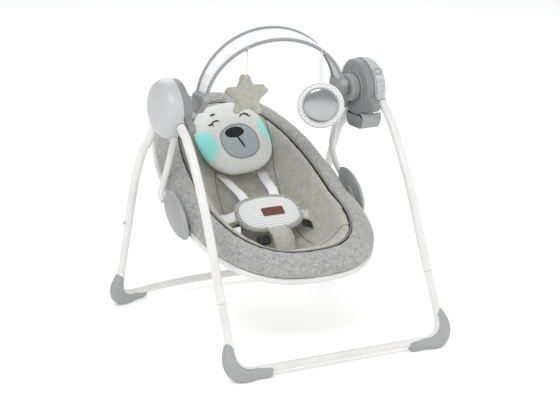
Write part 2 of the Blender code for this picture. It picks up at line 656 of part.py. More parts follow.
for side in (-1, 1):
    top = BELLY + PAD_UPWARD * 0.0515 + Vector((side * 0.042, 0, 0))
    path = smooth_path([top, (side * 0.045, 0.085, 0.298), (side * 0.048, 0.125, 0.3060),
                        (side * 0.050, 0.1600, 0.3120)], 3)
    finish(ribbon("shoulder", path, (1, 0, 0), 0.024, 0.0020), side_name("shoulder_strap", side), WEBBING, SEAT)
crotch = ribbon("crotch", smooth_path([BELLY - PAD_UPWARD * 0.0515 + PAD_FACING * 0.002, (0, -0.068, 0.2250),
                                       (0, -0.0800, 0.2050), (0, -0.0840, 0.1760)], 3), (1, 0, 0), 0.052, 0.0050)
finish(crotch, "crotch_strap", VELOUR, SEAT)
buckle = block("buckle", (-0.046, -0.060, 0.2080), (0.030, 0.024, 0.012), 0.002, (PAD_LEAN, 0, 0))
finish(buckle, "harness_buckle", BLACK_PLASTIC, SEAT)

# Toy bar: two bowed wires in end sockets, the mesh band between them and two hanging toys


def arch_point(angle, y, rise, half_width=ARCH_HALF_WIDTH):
    return Vector((-half_width * math.cos(angle), y, AXIS_Z + rise * math.sin(angle)))


def arch(y, rise, steps=24):
    first = math.asin(0.030 / rise)
    return [arch_point(first + (math.pi - 2 * first) * k / steps, y, rise) for k in range(steps + 1)]


rear_wire, front_wire = arch(ARCH_REAR_Y, ARCH_REAR_RISE), arch(ARCH_FRONT_Y, ARCH_FRONT_RISE)
finish(tube("wire", rear_wire, WIRE_R, sides=2), "toy_bar_wire_rear", GREY_PLASTIC, TOYS)
finish(tube("wire", front_wire, WIRE_R, sides=2), "toy_bar_wire_front", GREY_PLASTIC, TOYS)
bm = bmesh.new()
CLEAR = WIRE_R + 0.0006
for line_a, line_b in zip(rear_wire, front_wire):
    way = (line_b - line_a).normalized()
    shift = Vector((0, AXIS_Y, 0))
    bm.verts.new(line_a + way * CLEAR + shift)
    bm.verts.new(line_b - way * CLEAR + shift)
bm.verts.ensure_lookup_table()
for k in range(len(rear_wire) - 1):
    bm.faces.new([bm.verts[2 * k], bm.verts[2 * k + 1], bm.verts[2 * k + 3], bm.verts[2 * k + 2]])
bmesh.ops.recalc_face_normals(bm, faces=bm.faces)
band = new_mesh_object("band", bm)
thick = band.modifiers.new("thickness", "SOLIDIFY")
thick.thickness = 0.0010
thick.offset = 0
finish(band, "toy_bar_band", MESH_CLOTH, TOYS)
for side in (-1, 1):
    socket = plate("socket", hull_outline([(0, AXIS_Z, 0.019), (ARCH_REAR_Y, AXIS_Z + 0.0212, 0.0070),
                                           (ARCH_FRONT_Y, AXIS_Z + 0.0212, 0.0070)], 5),
                   side * 0.1690, side * 0.1860)
    boss = disc("boss", side * 0.1800, side * 0.2044, 0, AXIS_Z, 0.0150)
    cut(socket, boss, operation="UNION")
    finish(socket, side_name("toy_bar_socket", side), GREY_PLASTIC, TOYS)

FACE_TURN = Matrix.Rotation(TOY_TURN, 4, "Z") @ Matrix.Rotation(math.pi / 2, 4, "X")


def wire_z(x):
    return AXIS_Z + ARCH_FRONT_RISE * math.sqrt(1 - (x / ARCH_HALF_WIDTH) ** 2)


STAR_AXIS = pivot("star_axis", ARCH_FRONT_Y, wire_z(STAR_X), STAR_X, TOYS)
MIRROR_AXIS = pivot("mirror_axis", ARCH_FRONT_Y, wire_z(MIRROR_X), MIRROR_X, TOYS)
curve = bpy.data.curves.new("star", "CURVE")
curve.dimensions = "2D"
curve.fill_mode = "BOTH"
curve.extrude = 0.010
spline = curve.splines.new("POLY")
spline.points.add(9)
spline.use_cyclic_u = True
for k in range(10):
    r = STAR_R if k % 2 == 0 else STAR_R * 0.56
    spline.points[k].co = (r * math.sin(math.pi * k / 5), r * math.cos(math.pi * k / 5), 0, 1)
star = bpy.data.objects.new("star", curve)
bpy.context.scene.collection.objects.link(star)
star.matrix_world = Matrix.Translation((STAR_X, AXIS_Y + ARCH_FRONT_Y, STAR_Z)) @ FACE_TURN
star = as_mesh(star)
edge = star.modifiers.new("edge", "BEVEL")
edge.width = 0.004
edge.segments = 2
cord = as_mesh(tube("cord", [(STAR_X, ARCH_FRONT_Y, wire_z(STAR_X) - WIRE_R - 0.0008),
                             (STAR_X, ARCH_FRONT_Y, STAR_Z + STAR_R * 0.8)], 0.0012, sides=2))
cut(star, cord, operation="UNION")
finish(star, "star_toy", STAR_PLUSH, STAR_AXIS)


def toy_disc(name, radius, depth, forward, segments=24):
    face = Vector((math.sin(TOY_TURN), -math.cos(TOY_TURN), 0))
    centre = Vector((MIRROR_X, AXIS_Y + ARCH_FRONT_Y, MIRROR_Z)) + face * forward
    bpy.ops.mesh.primitive_cylinder_add(vertices=segments, radius=radius, depth=depth, location=centre)
    obj = bpy.context.object
    obj.rotation_euler = FACE_TURN.to_euler()
    obj.name = name
    bpy.context.view_layer.update()
    return obj


ring = toy_disc("ring", MIRROR_R, 0.018, 0)
cut(ring, toy_disc("ring_hole", 0.0405, 0.030, 0))
edge = ring.modifiers.new("edge", "BEVEL")
edge.width = 0.003
edge.segments = 1
edge.limit_method = "ANGLE"
across = (math.cos(TOY_TURN), math.sin(TOY_TURN), 0)
hanger = ribbon("hanger", [(MIRROR_X, ARCH_FRONT_Y, wire_z(MIRROR_X) - WIRE_R - 0.0075),
                           (MIRROR_X, ARCH_FRONT_Y, MIRROR_Z + MIRROR_R - 0.004)], across, 0.010, 0.0015)
cut(ring, hanger, operation="UNION")
finish(ring, "mirror_ring", CHEVRON, MIRROR_AXIS)
finish(toy_disc("glass", 0.0400, 0.010, 0.002), "mirror_disc", MIRROR, MIRROR_AXIS)
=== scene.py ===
"""Folding baby swing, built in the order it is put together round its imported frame."""
import math

import bmesh
import bpy
from mathutils import Matrix, Vector
from mathutils.bvhtree import BVHTree
from mathutils.kdtree import KDTree


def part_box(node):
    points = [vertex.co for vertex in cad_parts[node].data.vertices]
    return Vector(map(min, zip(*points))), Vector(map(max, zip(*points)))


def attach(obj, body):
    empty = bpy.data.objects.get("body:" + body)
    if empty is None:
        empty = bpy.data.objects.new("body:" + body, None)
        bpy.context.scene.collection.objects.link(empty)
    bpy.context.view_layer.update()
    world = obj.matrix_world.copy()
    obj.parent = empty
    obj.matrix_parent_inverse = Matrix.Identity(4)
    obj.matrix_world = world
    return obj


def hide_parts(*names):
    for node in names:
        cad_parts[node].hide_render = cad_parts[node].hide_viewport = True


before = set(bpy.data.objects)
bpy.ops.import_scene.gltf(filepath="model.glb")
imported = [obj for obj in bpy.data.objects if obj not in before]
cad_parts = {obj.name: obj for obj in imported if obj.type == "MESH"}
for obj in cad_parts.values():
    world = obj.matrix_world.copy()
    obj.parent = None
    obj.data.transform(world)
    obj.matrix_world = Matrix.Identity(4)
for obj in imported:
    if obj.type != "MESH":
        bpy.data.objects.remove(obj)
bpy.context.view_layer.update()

TURN = math.tau

# Studio: a pale floor that runs out of sight, one large soft light from the front left,
# a weaker one from the right and an even pale sky.
axle_low, axle_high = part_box("swing_axle_left")
AXIS_Y, AXIS_Z = (axle_low.y + axle_high.y) / 2, (axle_low.z + axle_high.z) / 2


def linear(code):
    """An sRGB hex colour as the linear colour that a shader takes."""
    parts = [int(code[i:i + 2], 16) / 255 for i in (1, 3, 5)]
    return (*[c / 12.92 if c <= 0.04045 else ((c + 0.055) / 1.055) ** 2.4 for c in parts], 1)


def node(tree, kind, sockets=None, **settings):
    """Adds a shader node, sets its properties, and sets or links its sockets by name or number."""
    made = tree.nodes.new("ShaderNode" + kind)
    for key, value in settings.items():
        setattr(made, key, value)
    for key, value in (sockets or {}).items():
        if isinstance(value, bpy.types.NodeSocket):
            tree.links.new(value, made.inputs[key])
        else:
            made.inputs[key].default_value = value
    return made


def material(name, colour, roughness, metallic=0.0, **own):
    """A Principled material; own holds more of its sockets, with _ for each space in their names."""
    made = bpy.data.materials.new(name)
    made.use_nodes = True
    shader = made.node_tree.nodes["Principled BSDF"]
    shader.inputs["Base Color"].default_value = linear(colour)
    shader.inputs["Roughness"].default_value = roughness
    shader.inputs["Metallic"].default_value = metallic
    for key, value in own.items():
        shader.inputs[key.replace("_", " ")].default_value = value
    made.diffuse_color = linear(colour)
    return made, made.node_tree, shader


def ramp(tree, factor, *stops):
    """A colour ramp with (place, hex colour) stops."""
    made = node(tree, "ValToRGB", {"Fac": factor})
    steps = made.color_ramp.elements
    while len(steps) < len(stops):
        steps.new(0.5)
    for step, (place, colour) in zip(steps, stops):
        step.position, step.color = place, linear(colour)
    return made.outputs["Color"]


def bump(tree, shader, height, strength, depth):
    """Drives the shader's normal; depth is the real height of the relief in metres."""
    made = node(tree, "Bump", {"Height": height, "Strength": strength, "Distance": depth})
    tree.links.new(made.outputs["Normal"], shader.inputs["Normal"])


floor_mat, tree, shader = material("painted_studio_floor", "#f4f4f3", 0.75)
place = node(tree, "TexCoord").outputs["Object"]
grain = node(tree, "TexNoise", {"Vector": place, "Scale": 3.0, "Detail": 2.0}).outputs["Fac"]
tree.links.new(ramp(tree, grain, (0.3, "#f3f3f2"), (0.7, "#f6f6f5")), shader.inputs["Base Color"])
shader.inputs["Emission Color"].default_value = (1, 1, 1, 1)
shader.inputs["Emission Strength"].default_value = 0.24
bm = bmesh.new()
bmesh.ops.create_grid(bm, x_segments=1, y_segments=1, size=12)
mesh = bpy.data.meshes.new("floor")
bm.to_mesh(mesh)
bm.free()
mesh.materials.append(floor_mat)
floor = bpy.data.objects.new("floor", mesh)
bpy.context.scene.collection.objects.link(floor)


def aim(obj, at):
    obj.rotation_euler = (Vector(at) - obj.location).to_track_quat("-Z", "Y").to_euler()


camera = bpy.data.objects.new("camera", bpy.data.cameras.new("camera"))
bpy.context.scene.collection.objects.link(camera)
camera.data.lens, camera.data.sensor_width = 145.2, 36
camera.location = (-2.3492, AXIS_Y - 4.4776, 1.6791)
aim(camera, (0.031, AXIS_Y, 0.274))
bpy.context.scene.camera = camera

for name, spot, size, power in (("key_light", (-2.4, -2.2, 3.4), 2.2, 88),
                                ("fill_light", (2.8, -1.6, 2.2), 2.4, 34),
                                ("back_light", (0.6, 2.8, 2.8), 2.4, 40)):
    lamp = bpy.data.objects.new(name, bpy.data.lights.new(name, "AREA"))
    bpy.context.scene.collection.objects.link(lamp)
    lamp.data.size, lamp.data.energy = size, power
    lamp.location = spot
    aim(lamp, (0, 0, 0.35))
world = bpy.data.worlds.new("sky")
bpy.context.scene.world = world
world.use_nodes = True
world.node_tree.nodes["Background"].inputs["Color"].default_value = linear("#f8f9fa")
world.node_tree.nodes["Background"].inputs["Strength"].default_value = 0.66
bpy.context.scene.view_settings.view_transform = "Standard"

# Stand tubes: 20 mm round steel, bent cold and powder-coated satin white. The lower tubes are a size
# smaller and plug into the legs, and the rear floor tube bows backwards.
LEG_X_TOP, LEG_X_FLOOR = 0.258, 0.265
LEG_R, BASE_R = 0.0102, 0.0093
FLOOR_TUBE_Z = 0.020
FRONT_FLOOR_Y, REAR_FLOOR_Y, REAR_BOW = -0.348, 0.2735, 0.050
FRONT_LEG = [(-0.0770, 0.512), (-0.1080, 0.487), (-0.1500, 0.432), (-0.2080, 0.3300), (-0.2590, 0.2100),
             (-0.2830, 0.1600)]
REAR_LEG = [(0.0660, 0.504), (0.0760, 0.4700), (0.1010, 0.4380), (0.1300, 0.4100), (0.1720, 0.3300),
            (0.2000, 0.2500), (0.2140, 0.2050)]

powder_coat, tree, shader = material("powder_coated_steel", "#dcdbd9", 0.34, Coat_Weight=0.15,
                                     Coat_Roughness=0.2)
place = node(tree, "TexCoord").outputs["Object"]
# Orange peel of powder coat, about 1.2 mm between its dimples, and a faint unevenness in the white.
peel = node(tree, "TexNoise", {"Vector": place, "Scale": 800.0, "Detail": 2.0}).outputs["Fac"]
cloud = node(tree, "TexNoise", {"Vector": place, "Scale": 14.0, "Detail": 3.0}).outputs["Fac"]
tree.links.new(ramp(tree, cloud, (0.3, "#d8d7d5"), (0.7, "#e1e0de")), shader.inputs["Base Color"])
rough = node(tree, "MapRange", {"Value": cloud, "To Min": 0.28, "To Max": 0.42}).outputs["Result"]
tree.links.new(rough, shader.inputs["Roughness"])
bump(tree, shader, peel, 0.25, 0.00012)


def smooth_path(points, steps=6, closed=False):
    """Catmull-Rom points through the given ones."""
    pts = [Vector(p) for p in points]
    if closed:
        pts = [pts[-1], *pts, pts[0], pts[1]]
    else:
        pts = [2 * pts[0] - pts[1], *pts, 2 * pts[-1] - pts[-2]]
    out = []
    for a, b, c, d in zip(pts, pts[1:], pts[2:], pts[3:]):
        for k in range(steps):
            t = k / steps
            out.append(0.5 * (2 * b + (c - a) * t + (2 * a - 5 * b + 4 * c - d) * t ** 2
                              + (3 * b - a - 3 * c + d) * t ** 3))
    return out if closed else out + [pts[-2]]


def smooth_flat(points, steps, closed=False):
    """The same for (x, y) points."""
    return [(p.x, p.y) for p in smooth_path([(x, y, 0) for x, y in points], steps, closed)]


def shifted(points):
    """Points whose Y is counted from the swing axis, moved into the frame."""
    return [Vector(p) + Vector((0, AXIS_Y, 0)) for p in points]


def path_frames(points, closed=False):
    """Each point with two directions across the path, which turn as little as they can."""
    count = len(points)
    across, rows = None, []
    for i, p in enumerate(points):
        ahead = points[(i + 1) % count] if closed or i + 1 < count else p
        behind = points[i - 1] if closed or i else p
        way = (ahead - behind).normalized()
        across = way.orthogonal() if across is None else across - across.dot(way) * way
        across.normalize()
        rows.append((p, across.copy(), way.cross(across)))
    return rows


def skin(around, along, place_at, width=1.0, length=1.0):
    """A grid wrapped into a skin: place_at(u, v) is the point for u round and v along, each from 0 to 1.
    Its UV map is in metres, for weaves; edges that meet are sewn."""
    made = bmesh.new()
    uv = made.loops.layers.uv.new("UVMap")
    bmesh.ops.create_grid(made, x_segments=around, y_segments=along, size=0.5, calc_uvs=True)
    for face in made.faces:
        for loop in face.loops:
            flat = loop[uv].uv
            loop[uv].uv = (flat.x * width, flat.y * length)
    for v in made.verts:
        v.co = place_at(v.co.x + 0.5, v.co.y + 0.5)
    bmesh.ops.remove_doubles(made, verts=made.verts, dist=0.000004)
    return made


def close_holes(made):
    bmesh.ops.holes_fill(made, edges=[e for e in made.edges if e.is_boundary], sides=0)
    bmesh.ops.recalc_face_normals(made, faces=made.faces)
    return made


def tube(points, radius, sides=24, closed=False, radii=None, flat=1.0):
    """A round bar along points, with ends closed; radii scales it point by point, flat squeezes it."""
    rows = path_frames(points, closed)
    if closed:
        rows.append(rows[0])
    steps = len(rows) - 1
    reach = sum((a[0] - b[0]).length for a, b in zip(rows, rows[1:]))

    def place_at(u, v):
        k = round(v * steps)
        p, across, other = rows[k]
        r = radius * (radii[k] if radii else 1)
        return p + across * (r * math.cos(TURN * u)) + other * (r * flat * math.sin(TURN * u))

    return close_holes(skin(sides, steps, place_at, TURN * radius, reach))


def piece(name, made, finish, body, stands_for=(), sharp=35):
    """Turns a bmesh into a named piece that rides on a body and stands for its CAD nodes."""
    mesh = bpy.data.meshes.new(name)
    made.to_mesh(mesh)
    made.free()
    mesh.materials.append(finish)
    mesh.shade_smooth()
    mesh.set_sharp_from_angle(angle=math.radians(sharp))
    obj = bpy.data.objects.new(name, mesh)
    bpy.context.scene.collection.objects.link(obj)
    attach(obj, body)
    if stands_for:
        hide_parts(*stands_for)
    return obj


def sided(base, side):
    return base + ("_left" if side < 0 else "_right")


def leg_x(z):
    """Half spacing of the legs, which spread a little towards the floor."""
    return LEG_X_FLOOR + (LEG_X_TOP - LEG_X_FLOOR) * (z - FLOOR_TUBE_Z) / (0.51 - FLOOR_TUBE_Z)


def leg_path(side, profile):
    return shifted(smooth_path([(side * leg_x(z), y, z) for y, z in profile], 8))


def rounded_corner(before, corner, after, radius, steps=12):
    """The points of a bend that rounds one corner."""
    a = (Vector(before) - Vector(corner)).normalized()
    b = (Vector(after) - Vector(corner)).normalized()
    start, end = Vector(corner) + a * radius, Vector(corner) + b * radius
    return [(1 - t) ** 2 * start + 2 * t * (1 - t) * Vector(corner) + t ** 2 * end
            for t in (k / steps for k in range(steps + 1))]


BEND = 0.052        # from a corner of the floor tube to where its bend begins


def floor_path(floor_y, top, bow):
    """One leg stub, the floor bar and the other leg stub of a bent floor tube."""
    half, top_x = LEG_X_FLOOR, leg_x(top[1])
    left_top, left = (-top_x, top[0], top[1]), (-half, floor_y, FLOOR_TUBE_Z)
    right_top, right = (top_x, top[0], top[1]), (half, floor_y, FLOOR_TUBE_Z)
    bar = [(half * k / 18, floor_y + bow * (1 - (k / 18) ** 2), FLOOR_TUBE_Z) for k in range(-14, 15)]
    return shifted([Vector(left_top)] + rounded_corner(left_top, left, bar[0], BEND)
                   + [Vector(p) for p in bar] + rounded_corner(bar[-1], right, right_top, BEND)
                   + [Vector(right_top)])


def domed(path, radius):
    """Adds a rounded tip to the start of a path and gives the radii that go with it."""
    way = (path[0] - path[1]).normalized()
    tip = [path[0] + way * 0.6 * radius * math.sin(a) for a in (1.5, 1.25, 0.95, 0.6, 0.3)]
    return tip + path, [0.12, 0.36, 0.62, 0.85, 0.96] + [1.0] * len(path)


for side in (-1, 1):
    path, radii = domed(leg_path(side, FRONT_LEG), LEG_R)
    piece(sided("front_leg_tube", side), tube(path, LEG_R, radii=radii), powder_coat, "stand",
          [sided("front_leg", side)])
    path, radii = domed(leg_path(side, REAR_LEG), LEG_R)
    piece(sided("rear_leg_tube", side), tube(path, LEG_R, radii=radii), powder_coat, "rear_frame",
          [sided("rear_leg", side)])
FRONT_STUB, REAR_STUB = (-0.2832, 0.1595), (0.2141, 0.2045)
piece("front_base_tube", tube(floor_path(FRONT_FLOOR_Y, FRONT_STUB, 0.0), BASE_R), powder_coat, "stand",
      ["front_floor_tube"])
piece("rear_base_tube", tube(floor_path(REAR_FLOOR_Y, REAR_STUB, REAR_BOW), BASE_R), powder_coat,
      "rear_frame", ["rear_floor_tube"])

# Shoes: a moulded grey ABS corner clipped on the outside of each bend of the floor tubes, open on
# the inside. It is flat and slightly rubbery underneath, and swells round the bend.
abs_grey, tree, shader = material("moulded_grey_abs", "#9da09f", 0.42)
place = node(tree, "TexCoord").outputs["Object"]
# Spark-eroded mould texture, about 0.7 mm, drawn at 1.1 mm so that it shows; a light mottle from moulding.
spark = node(tree, "TexNoise", {"Vector": place, "Scale": 900.0, "Detail": 3.0}).outputs["Fac"]
flow = node(tree, "TexNoise", {"Vector": place, "Scale": 22.0, "Detail": 2.0}).outputs["Fac"]
tree.links.new(ramp(tree, flow, (0.25, "#999b9b"), (0.75, "#a2a5a4")), shader.inputs["Base Color"])
tree.links.new(node(tree, "MapRange", {"Value": flow, "To Min": 0.36, "To Max": 0.5}).outputs["Result"],
               shader.inputs["Roughness"])
bump(tree, shader, spark, 0.3, 0.0001)

SHOE_STEPS = 14
SHOE_BELLY = [math.sin(math.pi * k / SHOE_STEPS) for k in range(SHOE_STEPS + 1)]    # fullest halfway round
# How far the sections stand from the corner, their radii, and how far they are pushed outwards:
# up the leg, round the bend and along the floor tube.
SHOE_UP = (0.0600, 0.0596, 0.0584, 0.0560)
SHOE_ALONG = (0.0560, 0.0650, 0.0740, 0.0820, 0.0865, 0.0880, 0.0885)
SHOE_RADII = [0.0096, 0.0112, 0.0118, 0.0122, *[0.0126 + 0.0058 * b for b in SHOE_BELLY],
              0.0128, 0.0127, 0.0126, 0.0125, 0.0120, 0.0108, 0.0070]
SHOE_PUSH = [0.0004, 0.0010, 0.0020, 0.0035, *[0.0050 + 0.0088 * b for b in SHOE_BELLY],
             0.0060, 0.0070, 0.0076, 0.0080, 0.0084, 0.0088, 0.0092]


def shoe(floor_y, top, bow, side):
    """A skin swept round the outside of the bend and cut flat below. It leaves the tube's inner side bare."""
    corner = Vector((side * LEG_X_FLOOR, floor_y, FLOOR_TUBE_Z))
    up = (Vector((side * leg_x(top[1]), top[0], top[1])) - corner).normalized()
    part_way = 5 / 6
    on_bar = Vector((side * LEG_X_FLOOR * part_way, floor_y + bow * (1 - part_way ** 2), FLOOR_TUBE_Z))
    along = (on_bar - corner).normalized()
    path = ([corner + up * h for h in SHOE_UP]
            + rounded_corner(corner + up, corner, corner + along, BEND, SHOE_STEPS)
            + [corner + along * h for h in SHOE_ALONG])
    pushed = []
    for k, (p, out) in enumerate(zip(path, SHOE_PUSH)):
        way = (path[min(k + 1, len(path) - 1)] - path[max(k - 1, 0)]).normalized()
        outside = -(up + along)
        outside = (outside - outside.dot(way) * way).normalized()
        pushed.append(p + outside * out)
    made = tube(shifted(pushed), 1.0, sides=36, radii=SHOE_RADII)
    for v in made.verts:
        v.co.z = max(v.co.z, 0.0)
    bmesh.ops.dissolve_degenerate(made, edges=made.edges, dist=0.00001)
    bmesh.ops.recalc_face_normals(made, faces=made.faces)
    return made


for label, floor_y, stub, bow, body in (("front", FRONT_FLOOR_Y, FRONT_STUB, 0.0, "stand"),
                                        ("rear", REAR_FLOOR_Y, REAR_STUB, REAR_BOW, "rear_frame")):
    for side in (-1, 1):
        piece(sided(label + "_shoe", side), shoe(floor_y, stub, bow, side), abs_grey, body,
              [sided("foot_" + label, side)], sharp=50)

# Snap buttons: sprung steel pins that lock each rear leg on its floor tube.
zinc, tree, shader = material("zinc_plated_steel", "#b9bab8", 0.3, 1.0)
place = node(tree, "TexCoord").outputs["Object"]
spangle = node(tree, "TexNoise", {"Vector": place, "Scale": 500.0, "Detail": 4.0}).outputs["Fac"]
tree.links.new(node(tree, "MapRange", {"Value": spangle, "To Min": 0.22, "To Max": 0.42}).outputs["Result"],
               shader.inputs["Roughness"])
bump(tree, shader, spangle, 0.15, 0.00005)
SNAP_Y, SNAP_Z, SNAP_R = 0.2090, 0.2220, 0.0038


def turned(profile, origin, way, steps=48):
    """A shape turned about an axis through origin along way; the profile is (radius, height) points."""
    made = bmesh.new()
    verts = [made.verts.new((r, 0, h)) for r, h in profile]
    edges = [made.edges.new(pair) for pair in zip(verts, verts[1:])]
    bmesh.ops.spin(made, geom=verts + edges, cent=(0, 0, 0), axis=(0, 0, 1), angle=TURN, steps=steps,
                   use_merge=True, use_duplicate=False)
    bmesh.ops.remove_doubles(made, verts=made.verts, dist=0.00001)
    close_holes(made)
    turn = Vector(way).to_track_quat("Z", "Y").to_matrix().to_4x4()
    bmesh.ops.transform(made, matrix=Matrix.Translation(origin) @ turn, verts=made.verts)
    return made


for side in (-1, 1):
    middle = Vector((side * (leg_x(SNAP_Z) + 0.0035), AXIS_Y + SNAP_Y, SNAP_Z))
    tip = LEG_R - 0.0003
    pin = turned([(0.0, 0.0), (SNAP_R, 0.0), (SNAP_R, tip - 0.0012), (0.0030, tip - 0.0003), (0.0, tip)],
                 middle, (side, 0, 0))
    piece(sided("snap_pin", side), pin, zinc, sided("snap", side), [sided("leg_snap_button", side)])

# Hub covers: domed shells of light grey ABS that close each hub on the outside. They are notched
# for the leg ends, and a fine raised arc decorates each dome.
abs_light, tree, shader = material("moulded_light_grey_abs", "#b7baba", 0.34, Coat_Weight=0.08)
place = node(tree, "TexCoord").outputs["Object"]
# Fine satin mould texture, near 0.5 mm, drawn at 0.9 mm, with a faint drift of tone from the gate.
satin = node(tree, "TexNoise", {"Vector": place, "Scale": 1100.0, "Detail": 2.0}).outputs["Fac"]
drift = node(tree, "TexNoise", {"Vector": place, "Scale": 12.0, "Detail": 2.0}).outputs["Fac"]
tree.links.new(ramp(tree, drift, (0.3, "#b4b6b6"), (0.7, "#bbbebe")), shader.inputs["Base Color"])
tree.links.new(node(tree, "MapRange", {"Value": drift, "To Min": 0.3, "To Max": 0.4}).outputs["Result"],
               shader.inputs["Roughness"])
bump(tree, shader, satin, 0.2, 0.00008)

HUB_INNER_X, HUB_SPLIT_X = 0.2265, 0.2450
DOME = [(0.0, 0.0447), (0.0160, 0.0443), (0.0300, 0.0432), (0.0420, 0.0408), (0.0520, 0.0368),
        (0.0590, 0.0312), (0.0640, 0.0245), (0.0668, 0.0170), (0.0679, 0.0090), (0.0680, 0.0006)]


def combined(base, others, operation="DIFFERENCE"):
    """A bmesh with others cut from it or joined to it."""
    objs = []
    for made in (base, *others):
        mesh = bpy.data.meshes.new("blank")
        made.to_mesh(mesh)
        made.free()
        objs.append(bpy.data.objects.new("blank", mesh))
        bpy.context.scene.collection.objects.link(objs[-1])
    for other in objs[1:]:
        step = objs[0].modifiers.new("step", "BOOLEAN")
        step.operation, step.solver, step.object = operation, "EXACT", other
    result = bpy.data.meshes.new_from_object(objs[0].evaluated_get(bpy.context.evaluated_depsgraph_get()))
    made = bmesh.new()
    made.from_mesh(result)
    bmesh.ops.remove_doubles(made, verts=made.verts, dist=0.000005)
    bmesh.ops.recalc_face_normals(made, faces=made.faces)
    for obj in objs:
        bpy.data.objects.remove(obj)
    return made


def hub_point(x, radius, angle):
    """A point beside the swing axis; the angle runs from straight up towards the front."""
    return Vector((x, AXIS_Y - radius * math.sin(angle), AXIS_Z + radius * math.cos(angle)))


def hub_out(angle):
    """The direction away from the swing axis at an angle."""
    return hub_point(0, 1, angle) - hub_point(0, 0, 0)


def dome_height(radius):
    for (r0, h0), (r1, h1) in zip(DOME, DOME[1:]):
        if radius <= r1:
            return h0 + (h1 - h0) * (radius - r0) / (r1 - r0)
    return 0.0


dome_line = smooth_flat(DOME, 4)
dome_inner = [(r - 0.0028 * min(1.0, r / 0.02), max(h - 0.0026, 0.0006)) for r, h in dome_line[::-1]]
ARC_R, ARC_WIRE_R = 0.027, 0.0009
for side in (-1, 1):
    dome = turned(dome_line + dome_inner, (side * HUB_SPLIT_X, AXIS_Y, AXIS_Z), (side, 0, 0), 72)
    tip_y, tip_z = FRONT_LEG[0]
    leg = side * leg_x(tip_z)
    front = tube(shifted([(leg, tip_y + 0.013, tip_z + 0.011), (leg, tip_y - 0.04, tip_z - 0.033)]),
                 LEG_R + 0.0013)
    rear = tube(shifted([(leg, 0.050, 0.505), (leg, 0.116, 0.449)]), LEG_R + 0.006)
    piece(sided("hub_dome", side), combined(dome, [front, rear]), abs_light, "stand",
          [sided("hub_cover", side)])
    # The arc stands 0.7 mm proud on the dome and follows it through five eighths of a turn.
    arc = []
    for k in range(41):
        angle = math.radians(-62 + 225 * k / 40)
        y, z = -0.006 + ARC_R * math.cos(angle), 0.003 + ARC_R * math.sin(angle)
        x = HUB_SPLIT_X + dome_height(math.hypot(y, z)) - 0.0002
        arc.append(Vector((side * x, AXIS_Y + y, AXIS_Z + z)))
    piece(sided("hub_arc", side), tube(arc, ARC_WIRE_R, sides=10), abs_light, "stand")

# Hub housings: dark grey inner shells that carry the axles, with lobes that hold the leg ends and a
# raised horseshoe rib round the axle; their grey is painted darker still as the shade on the hubs' inner faces.
# Self-tapping screws hold the covers on.
# Dark grey ABS, its colour and mottle darkened as painted shade on the hubs' inner faces; the panel marks, power
# surround and battery door share it.
abs_dark_and_painted_shade, tree, shader = material("mid_grey_abs_with_painted_shade", "#84888a", 0.45)
place = node(tree, "TexCoord").outputs["Object"]
spark = node(tree, "TexNoise", {"Vector": place, "Scale": 900.0, "Detail": 3.0}).outputs["Fac"]
flow = node(tree, "TexNoise", {"Vector": place, "Scale": 20.0, "Detail": 2.0}).outputs["Fac"]
tree.links.new(ramp(tree, flow, (0.3, "#808486"), (0.7, "#898c8f")), shader.inputs["Base Color"])
bump(tree, shader, spark, 0.3, 0.0001)
# Black acetal for the bush, lever, speaker, adjusters and buckle; the same black serves as painted shade in the
# speaker holes.
black_plastic_and_hole_shade, tree, shader = material("black_acetal_with_painted_hole_shade", "#1d1e1f", 0.38)
place = node(tree, "TexCoord").outputs["Object"]
spark = node(tree, "TexNoise", {"Vector": place, "Scale": 900.0, "Detail": 3.0}).outputs["Fac"]
tree.links.new(ramp(tree, spark, (0.3, "#191a1b"), (0.7, "#242526")), shader.inputs["Base Color"])
bump(tree, shader, spark, 0.3, 0.0001)


def rounded(made, edges, offset, segments=3):
    """Rounds edges of a bmesh off."""
    bmesh.ops.bevel(made, geom=edges, offset=offset, offset_type="OFFSET", segments=segments, profile=0.5,
                    material=-1, affect="EDGES")


def hull_slab(circles, x_from, x_to, edge=0.0012, segments=3):
    """A slab between two X places whose outline is drawn taut round (y, z, radius) circles."""
    made = bmesh.new()
    for x in (x_from, x_to):
        for y, z, radius in circles:
            spot = Matrix.Translation((x, AXIS_Y + y, z)) @ Matrix.Rotation(math.pi / 2, 4, "Y")
            bmesh.ops.create_circle(made, segments=40, radius=radius, matrix=spot)
    found = bmesh.ops.convex_hull(made, input=made.verts[:])
    bmesh.ops.delete(made, geom=list({*found["geom_interior"], *found["geom_unused"]}), context="VERTS")
    bmesh.ops.dissolve_limit(made, angle_limit=math.radians(1), verts=made.verts, edges=made.edges)
    rims = [e for e in made.edges if e.is_manifold and e.calc_face_angle() > math.radians(50)]
    if edge:
        rounded(made, rims, edge, segments)
    bmesh.ops.recalc_face_normals(made, faces=made.faces)
    return made


def screw(name, spot, way, body):
    """A pan-head screw with a cross recess, its head 4.8 mm across."""
    head = turned([(0.0, -0.0010), (0.0024, -0.0010), (0.0024, 0.0002), (0.0020, 0.0008), (0.0010, 0.0011),
                   (0.0, 0.0012)], spot, way, 24)
    turn = Vector(way).to_track_quat("Z", "Y").to_matrix().to_4x4()
    on_head = Matrix.Translation(spot) @ turn @ Matrix.Translation((0, 0, 0.0012))
    slots = []
    for size in ((0.0030, 0.0006, 0.0016), (0.0006, 0.0030, 0.0016)):
        slot = bmesh.new()
        bmesh.ops.create_cube(slot, size=1, matrix=on_head @ Matrix.Diagonal((*size, 1)))
        slots.append(slot)
    return piece(name, combined(head, slots), zinc, body)


